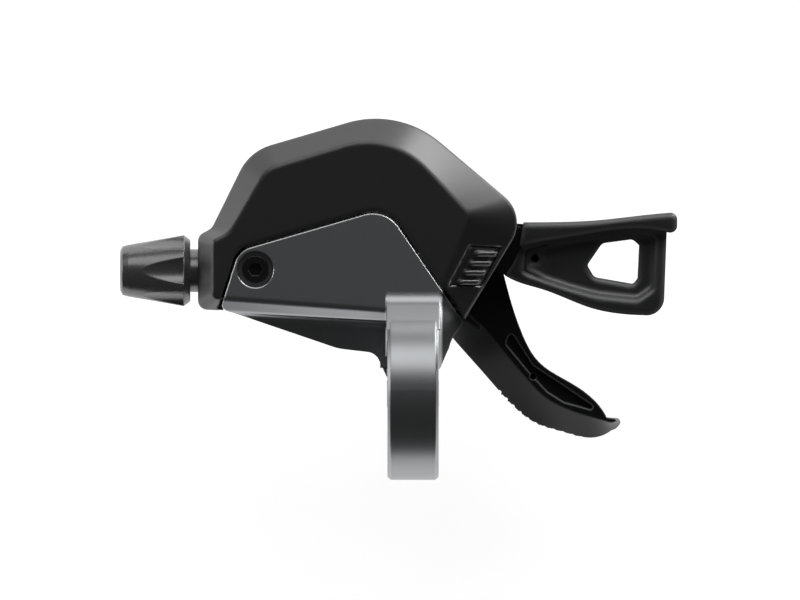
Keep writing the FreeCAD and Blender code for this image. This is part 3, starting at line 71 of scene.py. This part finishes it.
camera_data = bpy.data.cameras.new("long_lens")
camera_data.lens = LENS_MM
camera_data.sensor_width = SENSOR_MM
camera_data.clip_start = NEAREST
camera_data.clip_end = FARTHEST
camera = bpy.data.objects.new("camera", camera_data)
camera.location = (camera_x, camera_y, camera_height)
bpy.context.scene.collection.objects.link(camera)
bpy.context.scene.camera = camera
print("camera height", round(camera_height, 3), "m")

# %% [markdown]
# Effects that several finishes use are node groups. Fine grain is the spark-eroded skin
# of moulded plastic or the orange peel of paint: one noise moves the roughness and gives
# a bump height, and a broad one shifts the colour a little. A scanned surface could do
# the same, but noise on object coordinates keeps its real size on every piece.

# %% Fine grain
FINE_DETAIL = 3
BROAD_SCALE = 160
BROAD_DETAIL = 2
SHADE_RANGE = (0.7, 1.3)
NOISE_MIDDLE = 0.5


def new_group(name, inputs, outputs):
    """Empty shader node group with named sockets."""
    group = bpy.data.node_groups.new(name, "ShaderNodeTree")
    for label, kind, value in inputs:
        socket = group.interface.new_socket(label, in_out="INPUT", socket_type=kind)
        socket.default_value = value
    for label, kind in outputs:
        group.interface.new_socket(label, in_out="OUTPUT", socket_type=kind)
    return group, group.nodes.new("NodeGroupInput"), group.nodes.new("NodeGroupOutput")


def grain_group():
    """Fine moulded or painted grain."""
    group, start, end = new_group(
        "fine_grain",
        [("Color", "NodeSocketColor", (0.05, 0.05, 0.05, 1)), ("Shade", "NodeSocketFloat", 0.12),
         ("Scale", "NodeSocketFloat", 4000.0), ("Roughness", "NodeSocketFloat", 0.4),
         ("Spread", "NodeSocketFloat", 0.08)],
        [("Color", "NodeSocketColor"), ("Roughness", "NodeSocketFloat"), ("Height", "NodeSocketFloat")],
    )
    n = group.nodes
    link = group.links.new
    where = n.new("ShaderNodeTexCoord")
    fine = n.new("ShaderNodeTexNoise")
    fine.inputs["Detail"].default_value = FINE_DETAIL
    broad = n.new("ShaderNodeTexNoise")
    broad.inputs["Scale"].default_value = BROAD_SCALE
    broad.inputs["Detail"].default_value = BROAD_DETAIL
    link(where.outputs["Object"], fine.inputs["Vector"])
    link(where.outputs["Object"], broad.inputs["Vector"])
    link(start.outputs["Scale"], fine.inputs["Scale"])
    shade = n.new("ShaderNodeMapRange")
    shade.inputs["To Min"].default_value = SHADE_RANGE[0]
    shade.inputs["To Max"].default_value = SHADE_RANGE[1]
    link(broad.outputs["Fac"], shade.inputs["Value"])
    mix = n.new("ShaderNodeMix")
    mix.data_type = "RGBA"
    mix.blend_type = "MULTIPLY"
    link(start.outputs["Shade"], mix.inputs["Factor"])
    link(start.outputs["Color"], mix.inputs["A"])
    link(shade.outputs["Result"], mix.inputs["B"])
    centred = n.new("ShaderNodeMath")
    centred.operation = "SUBTRACT"
    centred.inputs[1].default_value = NOISE_MIDDLE
    link(fine.outputs["Fac"], centred.inputs[0])
    spread = n.new("ShaderNodeMath")
    spread.operation = "MULTIPLY_ADD"
    link(centred.outputs[0], spread.inputs[0])
    link(start.outputs["Spread"], spread.inputs[1])
    link(start.outputs["Roughness"], spread.inputs[2])
    link(mix.outputs["Result"], end.inputs["Color"])
    link(spread.outputs[0], end.inputs["Roughness"])
    link(fine.outputs["Fac"], end.inputs["Height"])
    return group


fine_grain = grain_group()
print("group", fine_grain.name, "with", len(fine_grain.nodes), "nodes")

# %% [markdown]
# No moulded or cast edge is sharp. The Bevel node bends the normal near each edge, so
# that a rim catches a thin line of light. Where the bent normal leaves the true one there
# is an edge, and that difference is a mask for the rims: their colour is lighter, partly
# as wear where fingers polish them and partly as a painted highlight along each rim, and
# they are a little smoother than the faces.

# %% Soft edges
EDGE_SAMPLES = 8


def edge_group():
    """Rounded look of the edges, and a mask of where they are."""
    group, start, end = new_group(
        "soft_edge",
        [("Radius", "NodeSocketFloat", 0.0004), ("Gain", "NodeSocketFloat", 6.0)],
        [("Normal", "NodeSocketVector"), ("Edge", "NodeSocketFloat")],
    )
    n = group.nodes
    link = group.links.new
    bend = n.new("ShaderNodeBevel")
    bend.samples = EDGE_SAMPLES
    link(start.outputs["Radius"], bend.inputs["Radius"])
    true = n.new("ShaderNodeNewGeometry")
    agree = n.new("ShaderNodeVectorMath")
    agree.operation = "DOT_PRODUCT"
    link(bend.outputs["Normal"], agree.inputs[0])
    link(true.outputs["Normal"], agree.inputs[1])
    differ = n.new("ShaderNodeMath")
    differ.operation = "SUBTRACT"
    differ.inputs[0].default_value = 1.0
    link(agree.outputs["Value"], differ.inputs[1])
    gain = n.new("ShaderNodeMath")
    gain.operation = "MULTIPLY"
    gain.use_clamp = True
    link(differ.outputs[0], gain.inputs[0])
    link(start.outputs["Gain"], gain.inputs[1])
    link(bend.outputs["Normal"], end.inputs["Normal"])
    link(gain.outputs[0], end.inputs["Edge"])
    return group


soft_edge = edge_group()
print("group", soft_edge.name, "with", len(soft_edge.nodes), "nodes")

# %% [markdown]
# The flank between the ring and the plate's lever-side corner is nearly black in the
# photograph, most likely because its hollow mirrors the dark side of the room. The solid's
# flank is plainer and would catch a softbox, so its finish carries that shade. The group
# marks a box of object space with soft borders, and the finish darkens what lies in it. A
# painted map could follow the form more closely, but a box is enough for one plain hollow.

# %% Painted shade in the hollow


# Mask for the painted shade on the flank beside the ring
def painted_shade_group():
    """Mask of a box along X and Y in object space, with soft borders."""
    group, start, end = new_group(
        "painted_shade_mask",
        [("Low X", "NodeSocketFloat", 0.0), ("High X", "NodeSocketFloat", 0.0),
         ("Low Y", "NodeSocketFloat", 0.0), ("High Y", "NodeSocketFloat", 0.0),
         ("Border", "NodeSocketFloat", 0.0005)],
        [("Mask", "NodeSocketFloat")],
    )
    n = group.nodes
    link = group.links.new
    where = n.new("ShaderNodeTexCoord")
    split = n.new("ShaderNodeSeparateXYZ")
    link(where.outputs["Object"], split.inputs["Vector"])
    masks = []
    for axis in ("X", "Y"):
        for side, operation in (("Low", "ADD"), ("High", "SUBTRACT")):
            inner = n.new("ShaderNodeMath")
            inner.operation = operation
            link(start.outputs[side + " " + axis], inner.inputs[0])
            link(start.outputs["Border"], inner.inputs[1])
            ramp = n.new("ShaderNodeMapRange")
            ramp.interpolation_type = "SMOOTHSTEP"
            link(split.outputs[axis], ramp.inputs["Value"])
            link(start.outputs[side + " " + axis], ramp.inputs["From Min"])
            link(inner.outputs[0], ramp.inputs["From Max"])
            masks.append(ramp.outputs["Result"])
    product = masks[0]
    for mask in masks[1:]:
        multiply = n.new("ShaderNodeMath")
        multiply.operation = "MULTIPLY"
        link(product, multiply.inputs[0])
        link(mask, multiply.inputs[1])
        product = multiply.outputs[0]
    link(product, end.inputs["Mask"])
    return group


painted_shade_mask = painted_shade_group()
print("group", painted_shade_mask.name, "with", len(painted_shade_mask.nodes), "nodes")

# %% [markdown]
# Every finish here is one Principled shader fed by these groups. What differs is the
# colour, how polished it is, how strong the grain is and how far its edges are softened.

# %% Finish helper
GRAIN_DEPTH = 0.02 * MM
# Near-black colour painted into the flank beside the ring as painted shade
PAINTED_SHADE_COLOR = (0.004, 0.004, 0.0042, 1)


def finish_of(name, color, roughness, rim_wear_and_highlight, edge_radius=0.35, grain_scale=4000, bump=0.05,
              shade=0.15, spread=0.08, metallic=0.0, polish=0.08, specular=0.5, ior=1.5,
              shade_box=None, shade_strength=0.9):
    """Material with one Principled shader behind the groups; lengths are in millimetres."""
    material = bpy.data.materials.new(name)
    material.use_nodes = True
    n = material.node_tree.nodes
    link = material.node_tree.links.new
    shader = n["Principled BSDF"]
    grain = n.new("ShaderNodeGroup")
    grain.node_tree = fine_grain
    grain.inputs["Color"].default_value = (*color, 1)
    grain.inputs["Shade"].default_value = shade
    grain.inputs["Scale"].default_value = grain_scale
    grain.inputs["Roughness"].default_value = roughness
    grain.inputs["Spread"].default_value = spread
    edge = n.new("ShaderNodeGroup")
    edge.node_tree = soft_edge
    edge.inputs["Radius"].default_value = edge_radius * MM
    # Rims are lighter in colour: partly wear, partly painted highlight along each rim
    wear_and_highlight_mix = n.new("ShaderNodeMix")
    wear_and_highlight_mix.data_type = "RGBA"
    wear_and_highlight_mix.inputs["B"].default_value = (*rim_wear_and_highlight, 1)
    link(edge.outputs["Edge"], wear_and_highlight_mix.inputs["Factor"])
    link(grain.outputs["Color"], wear_and_highlight_mix.inputs["A"])
    smooth = n.new("ShaderNodeMath")
    smooth.operation = "MULTIPLY_ADD"
    smooth.inputs[1].default_value = -polish
    link(edge.outputs["Edge"], smooth.inputs[0])
    link(grain.outputs["Roughness"], smooth.inputs[2])
    height = n.new("ShaderNodeBump")
    height.inputs["Strength"].default_value = bump
    height.inputs["Distance"].default_value = GRAIN_DEPTH
    link(grain.outputs["Height"], height.inputs["Height"])
    link(edge.outputs["Normal"], height.inputs["Normal"])
    tone = wear_and_highlight_mix.outputs["Result"]
    # Painted shade: inside the box the colour is mixed towards the near-black shade colour
    if shade_box:
        shade_mask = n.new("ShaderNodeGroup")
        shade_mask.node_tree = painted_shade_mask
        for label, value in zip(("Low X", "High X", "Low Y", "High Y", "Border"), shade_box):
            shade_mask.inputs[label].default_value = value * MM
        amount = n.new("ShaderNodeMath")
        amount.operation = "MULTIPLY"
        amount.inputs[1].default_value = shade_strength
        link(shade_mask.outputs["Mask"], amount.inputs[0])
        painted_shade = n.new("ShaderNodeMix")
        painted_shade.data_type = "RGBA"
        painted_shade.inputs["B"].default_value = PAINTED_SHADE_COLOR
        link(amount.outputs[0], painted_shade.inputs["Factor"])
        link(tone, painted_shade.inputs["A"])
        tone = painted_shade.outputs["Result"]
    link(tone, shader.inputs["Base Color"])
    link(smooth.outputs[0], shader.inputs["Roughness"])
    link(height.outputs["Normal"], shader.inputs["Normal"])
    shader.inputs["Metallic"].default_value = metallic
    shader.inputs["Specular IOR Level"].default_value = specular
    shader.inputs["IOR"].default_value = ior
    return material


# %% [markdown]
# The casting is aluminium under a thin dark satin paint, so it mirrors like metal, and its
# rims are lighter, partly worn and partly painted highlight. The cover is satin moulded
# plastic, and the levers are darker. The finger lever is rounded more than the thumb lever,
# so its edges bend further. The adjuster has a lighter grip plastic. Screws and arms are
# black coated steel, the ratchet inside is zinc plated steel, the adjuster's bolt is turned
# and the drum is black acetal.

# %% Finishes
# Low X, high X, low Y, high Y and border of the painted shade on the flank beside the ring, in
# millimetres
FLANK_SHADE_BOX = (4.35, 8.6, 3.4, 16.9, 0.5)
FINISHES = {
    "casting": finish_of(
        "painted_casting", color=(0.36, 0.37, 0.38), roughness=0.36, metallic=1.0,
        rim_wear_and_highlight=(0.6, 0.605, 0.61), edge_radius=0.35, bump=0.08, shade=0.1,
        shade_box=FLANK_SHADE_BOX, shade_strength=0.96),
    "cover": finish_of(
        "cover_plastic", color=(0.01, 0.01, 0.0105), roughness=0.34, specular=0.8, ior=1.62,
        rim_wear_and_highlight=(0.05, 0.05, 0.052), edge_radius=0.9, bump=0.12),
    "lever": finish_of(
        "lever_plastic", color=(0.004, 0.0042, 0.0048), roughness=0.36, specular=0.3,
        rim_wear_and_highlight=(0.26, 0.265, 0.275), edge_radius=0.4, bump=0.12),
    "finger": finish_of(
        "finger_plastic", color=(0.015, 0.0155, 0.017), roughness=0.32, specular=0.8, ior=1.6,
        rim_wear_and_highlight=(0.17, 0.173, 0.18), edge_radius=1.7, bump=0.12),
    "knob": finish_of(
        "knob_plastic", color=(0.06, 0.06, 0.062), roughness=0.28, specular=0.9, ior=1.8,
        rim_wear_and_highlight=(0.26, 0.26, 0.263), edge_radius=0.3, bump=0.08),
    "black_steel": finish_of(
        "black_steel", color=(0.008, 0.008, 0.008), roughness=0.25,
        rim_wear_and_highlight=(0.03, 0.03, 0.03), edge_radius=0.15),
    "steel": finish_of(
        "plated_steel", color=(0.5, 0.5, 0.49), roughness=0.28, metallic=1.0,
        rim_wear_and_highlight=(0.6, 0.6, 0.59), edge_radius=0.15, grain_scale=2500),
    "bright": finish_of(
        "turned_metal", color=(0.6, 0.6, 0.6), roughness=0.25, metallic=1.0,
        rim_wear_and_highlight=(0.7, 0.7, 0.7), edge_radius=0.15, grain_scale=2500),
    "acetal": finish_of(
        "drum_acetal", color=(0.02, 0.02, 0.02), roughness=0.3,
        rim_wear_and_highlight=(0.03, 0.03, 0.03), edge_radius=0.2),
}
WEARS = {
    "casting": ["bracket"],
    "cover": ["upper_cover", "lower_cover", "cable_hole_cap"],
    "lever": ["main_pad"],
    "finger": ["release_pad"],
    "knob": ["adjuster_knob", "detent_ring"],
    "black_steel": ["clamp_bolt", "bracket_screw", "cover_screws", "release_arm", "main_arm"],
    "steel": ["upper_base_plate", "lower_base_plate", "plate_pillars", "main_axle", "axle_nut",
              "axle_washers", "index_wheel", "feed_wheel", "drum_spring", "hold_pawl",
              "hold_pawl_pin", "feed_pawl", "feed_pawl_pin", "pawl_carrier", "drive_sleeve",
              "main_return_spring"],
    "bright": ["adjuster_bolt", "adjuster_bush"],
    "acetal": ["cable_drum"],
}


def dress(thing, finish):
    """Give an object one finish all over."""
    thing.data.materials.clear()
    thing.data.materials.append(FINISHES[finish])


for finish, names in WEARS.items():
    for name in names:
        dress(nodes[name], finish)
print("finishes", len(FINISHES), "nodes dressed", sum(len(v) for v in WEARS.values()))

# %% [markdown]
# The thumb face of the main lever has grip ribs, small rounded bars between the notches
# of its edge. They repeat along a curved line, which is work for Geometry Nodes: the tree
# smooths a line through a few points, keeps the stretch that has ribs, and sets one
# stretched ball at each step. Realize Instances and Set Material end it, and the result
# becomes a plain mesh that rides on the lever.

# %% Grip rib tree
THUMB_LINE = [(4.9, 10.2), (6.78, 7.84), (11.2, 2.85), (15.5, -2.0), (19.84, -5.44), (24.16, -6.83),
              (28.48, -7.79), (32.0, -6.6)]
RIB_LEVEL = -24.3
RIB_COUNT = 10
RIB_STRETCH = (0.4225, 0.8275)
RIB_RADIUS = 0.22
RIB_HALF_HEIGHT = 1.3
RIB_SINK = 0.15
BALL_SEGMENTS = 12
BALL_RINGS = 8


def rib_tree():
    """Geometry Nodes tree that lines up rounded ribs along part of a smooth line."""
    tree = bpy.data.node_groups.new("grip_ribs", "GeometryNodeTree")
    tree.interface.new_socket("Geometry", in_out="INPUT", socket_type="NodeSocketGeometry")
    inputs = [("Start", "NodeSocketFloat"), ("End", "NodeSocketFloat"), ("Count", "NodeSocketInt"),
              ("Size", "NodeSocketVector"), ("Material", "NodeSocketMaterial")]
    for label, kind in inputs:
        tree.interface.new_socket(label, in_out="INPUT", socket_type=kind)
    tree.interface.new_socket("Geometry", in_out="OUTPUT", socket_type="NodeSocketGeometry")
    n = tree.nodes
    link = tree.links.new
    start = n.new("NodeGroupInput")
    end = n.new("NodeGroupOutput")
    line = n.new("GeometryNodeMeshToCurve")
    smooth = n.new("GeometryNodeCurveSplineType")
    smooth.spline_type = "CATMULL_ROM"
    trim = n.new("GeometryNodeTrimCurve")
    steps = n.new("GeometryNodeResampleCurve")
    ball = n.new("GeometryNodeMeshUVSphere")
    ball.inputs["Segments"].default_value = BALL_SEGMENTS
    ball.inputs["Rings"].default_value = BALL_RINGS
    ball.inputs["Radius"].default_value = 1.0
    place = n.new("GeometryNodeInstanceOnPoints")
    real = n.new("GeometryNodeRealizeInstances")
    shade = n.new("GeometryNodeSetShadeSmooth")
    paint = n.new("GeometryNodeSetMaterial")
    link(start.outputs["Geometry"], line.inputs["Mesh"])
    link(line.outputs["Curve"], smooth.inputs["Curve"])
    link(smooth.outputs["Curve"], trim.inputs["Curve"])
    link(start.outputs["Start"], trim.inputs["Start"])
    link(start.outputs["End"], trim.inputs["End"])
    link(trim.outputs["Curve"], steps.inputs["Curve"])
    link(start.outputs["Count"], steps.inputs["Count"])
    link(steps.outputs["Curve"], place.inputs["Points"])
    link(ball.outputs["Mesh"], place.inputs["Instance"])
    link(start.outputs["Size"], place.inputs["Scale"])
    link(place.outputs["Instances"], real.inputs["Geometry"])
    link(real.outputs["Geometry"], shade.inputs["Geometry"])
    link(shade.outputs["Geometry"], paint.inputs["Geometry"])
    link(start.outputs["Material"], paint.inputs["Material"])
    link(paint.outputs["Geometry"], end.inputs["Geometry"])
    return tree


def socket_id(tree, label):
    """Identifier of a tree's input, which is what a modifier is set by."""
    for item in tree.interface.items_tree:
        if item.in_out == "INPUT" and item.name == label:
            return item.identifier
    raise KeyError(label)


grip_ribs = rib_tree()
print("tree", grip_ribs.name, "with", len(grip_ribs.nodes), "nodes")

# %% [markdown]
# The line is the outer edge of the lever's foot, moved a little inwards so that each rib
# stands only slightly proud of the face. The balls could be cut as notches instead, but
# the notches are in the solid already, and the ribs between them are what the thumb feels.

# %% Grip ribs


def thumb_ribs():
    """Grip ribs on the thumb face, made by the tree and kept as a plain mesh."""
    mesh = bpy.data.meshes.new("thumb_line")
    points = [(x * MM, (y + RIB_SINK) * MM, RIB_LEVEL * MM) for x, y in THUMB_LINE]
    mesh.from_pydata(points, [(i, i + 1) for i in range(len(points) - 1)], [])
    guide = bpy.data.objects.new("thumb_line", mesh)
    bpy.context.scene.collection.objects.link(guide)
    modifier = guide.modifiers.new("ribs", "NODES")
    modifier.node_group = grip_ribs
    modifier[socket_id(grip_ribs, "Start")] = RIB_STRETCH[0]
    modifier[socket_id(grip_ribs, "End")] = RIB_STRETCH[1]
    modifier[socket_id(grip_ribs, "Count")] = RIB_COUNT
    modifier[socket_id(grip_ribs, "Size")] = (RIB_RADIUS * MM, RIB_RADIUS * MM, RIB_HALF_HEIGHT * MM)
    modifier[socket_id(grip_ribs, "Material")] = FINISHES["lever"]
    bpy.context.view_layer.update()
    seen = guide.evaluated_get(bpy.context.evaluated_depsgraph_get())
    made = bpy.data.meshes.new_from_object(seen)
    guide.modifiers.remove(modifier)
    bpy.data.objects.remove(guide)
    ribs = bpy.data.objects.new("thumb_grip_ribs", made)
    bpy.context.scene.collection.objects.link(ribs)
    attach(ribs, "main_lever")
    return ribs


ribs = thumb_ribs()
print("ribs", len(ribs.data.polygons), "faces", len(ribs.data.materials), "material")

# %% [markdown]
# Three small fillings close gaps that the solids leave and the photograph doesn't show.
# The slit of the clamp stops short of the low flange on the real casting, and a web closes
# it there. The blade of the release lever has a shoulder at its root, so that no light
# falls between blade and finger wall. The upper cover has a lip, which shows black beyond
# the end of the casting's fold. They belong in the solids and could be modelled there;
# here each is a thin plate within the thickness of its piece, and rides on the same body.

# %% Fillings
WEB_OUTLINE = [(-5.3, 3.5), (-3.8, 3.5), (-3.8, 5.5), (-5.3, 5.5)]
WEB_LEVELS = (-13.2, -11.8)
SHOULDER_OUTLINE = [(14.9, 24.6), (17.8, 24.6), (17.9, 26.6), (16.6, 26.7), (15.2, 26.5)]
SHOULDER_LEVELS = (-14.1, -12.9)
LIP_OUTLINE = [(-31.3, 14.9), (-31.3, 12.85), (-30.3, 12.75), (-30.5, 13.5), (-30.2, 14.9)]
LIP_LEVELS = (1.4, 2.8)


def filling(name, outline, levels, body, finish):
    """Thin plate between two levels that fills a gap of one body."""
    count = len(outline)
    points = [(x * MM, y * MM, level * MM) for level in levels for x, y in outline]
    sides = [(i, (i + 1) % count, count + (i + 1) % count, count + i) for i in range(count)]
    mesh = bpy.data.meshes.new(name)
    ends = [tuple(reversed(range(count))), tuple(range(count, 2 * count))]
    mesh.from_pydata(points, [], ends + sides)
    piece = bpy.data.objects.new(name, mesh)
    bpy.context.scene.collection.objects.link(piece)
    dress(piece, finish)
    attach(piece, body)
    print(name, "on", body, len(mesh.polygons), "faces")


filling("cast_web", WEB_OUTLINE, WEB_LEVELS, "bracket_body", "casting")
filling("blade_shoulder", SHOULDER_OUTLINE, SHOULDER_LEVELS, "release_lever", "black_steel")
filling("cover_lip", LIP_OUTLINE, LIP_LEVELS, "bracket_body", "cover")

# %% [markdown]
# The object stands over a wide white floor. The floor glows only where the camera or a
# mirroring surface sees it. So it comes out white in the picture and in what the metal
# mirrors, it adds no soft light to the object, and a faint shadow stays.

# %% Floor
FLOOR_LEVEL = -60 * MM
FLOOR_REACH = 3.0
FLOOR_GLOW = 0.8
FLOOR_COLOR = (0.8, 0.8, 0.8, 1)
FLOOR_ROUGHNESS = 0.9


def floor():
    """Wide pale floor, white to the camera and in reflections."""
    mesh = bpy.data.meshes.new("floor")
    r = FLOOR_REACH
    corners = [(-r, -r, FLOOR_LEVEL), (r, -r, FLOOR_LEVEL), (r, r, FLOOR_LEVEL), (-r, r, FLOOR_LEVEL)]
    mesh.from_pydata(corners, [], [(0, 1, 2, 3)])
    plane = bpy.data.objects.new("floor", mesh)
    bpy.context.scene.collection.objects.link(plane)
    material = bpy.data.materials.new("pale_floor")
    material.use_nodes = True
    n = material.node_tree.nodes
    link = material.node_tree.links.new
    shader = n["Principled BSDF"]
    shader.inputs["Base Color"].default_value = FLOOR_COLOR
    shader.inputs["Roughness"].default_value = FLOOR_ROUGHNESS
    shader.inputs["Emission Color"].default_value = (1, 1, 1, 1)
    path = n.new("ShaderNodeLightPath")
    seen = n.new("ShaderNodeMath")
    seen.operation = "MAXIMUM"
    level = n.new("ShaderNodeMath")
    level.operation = "MULTIPLY"
    level.inputs[1].default_value = FLOOR_GLOW
    link(path.outputs["Is Camera Ray"], seen.inputs[0])
    link(path.outputs["Is Glossy Ray"], seen.inputs[1])
    link(seen.outputs[0], level.inputs[0])
    link(level.outputs[0], shader.inputs["Emission Strength"])
    mesh.materials.append(material)


floor()
print("floor at", FLOOR_LEVEL / MM, "mm")

# %% [markdown]
# The body is nearly black, so what shows is mostly what it mirrors: a dim grey room and
# large softboxes. A high softbox stands forward of the body and lights the ring, the neck
# and the cover's bevel, and a low one below it the front of the ring. One at the right
# lights every face of the cover that leans that way, and a weak one at the left lifts the
# knob. The side behind the bar stays dark.

# %% Room and lamps
ROOM_LEVEL = 0.045
BODY_CENTRE = (-0.002, 0.018, 0.0)
# Name, place, width and height in metres, and power in watts
SOFTBOXES = [
    ("forward_box", (0.05, 0.8, 0.85), 1.3, 0.7, 5.2),
    ("low_forward_box", (0.1, 1.0, 0.1), 1.0, 0.25, 1.0),
    ("low_right_box", (0.75, 0.85, 0.12), 0.7, 0.3, 5),
    ("left_box", (-0.95, 0.25, 0.25), 0.5, 0.4, 2),
]


def softbox(name, centre, width, height, watts):
    """Area lamp at a place, turned to the body."""
    data = bpy.data.lights.new(name, "AREA")
    data.shape = "RECTANGLE"
    data.size = width
    data.size_y = height
    data.energy = watts
    lamp = bpy.data.objects.new(name, data)
    lamp.location = centre
    aim = Vector(BODY_CENTRE) - Vector(centre)
    lamp.rotation_euler = aim.to_track_quat("-Z", "Y").to_euler()
    bpy.context.scene.collection.objects.link(lamp)


world = bpy.data.worlds.new("studio")
world.use_nodes = True
room = world.node_tree.nodes["Background"]
room.inputs["Color"].default_value = (ROOM_LEVEL, ROOM_LEVEL, ROOM_LEVEL, 1)
bpy.context.scene.world = world
for box in SOFTBOXES:
    softbox(*box)
bpy.context.scene.view_settings.view_transform = "Standard"
print("softboxes", len(SOFTBOXES))

# %% [markdown]
# At the end the scene's placements are brought up to date once more.

# %% Finish
write_size()
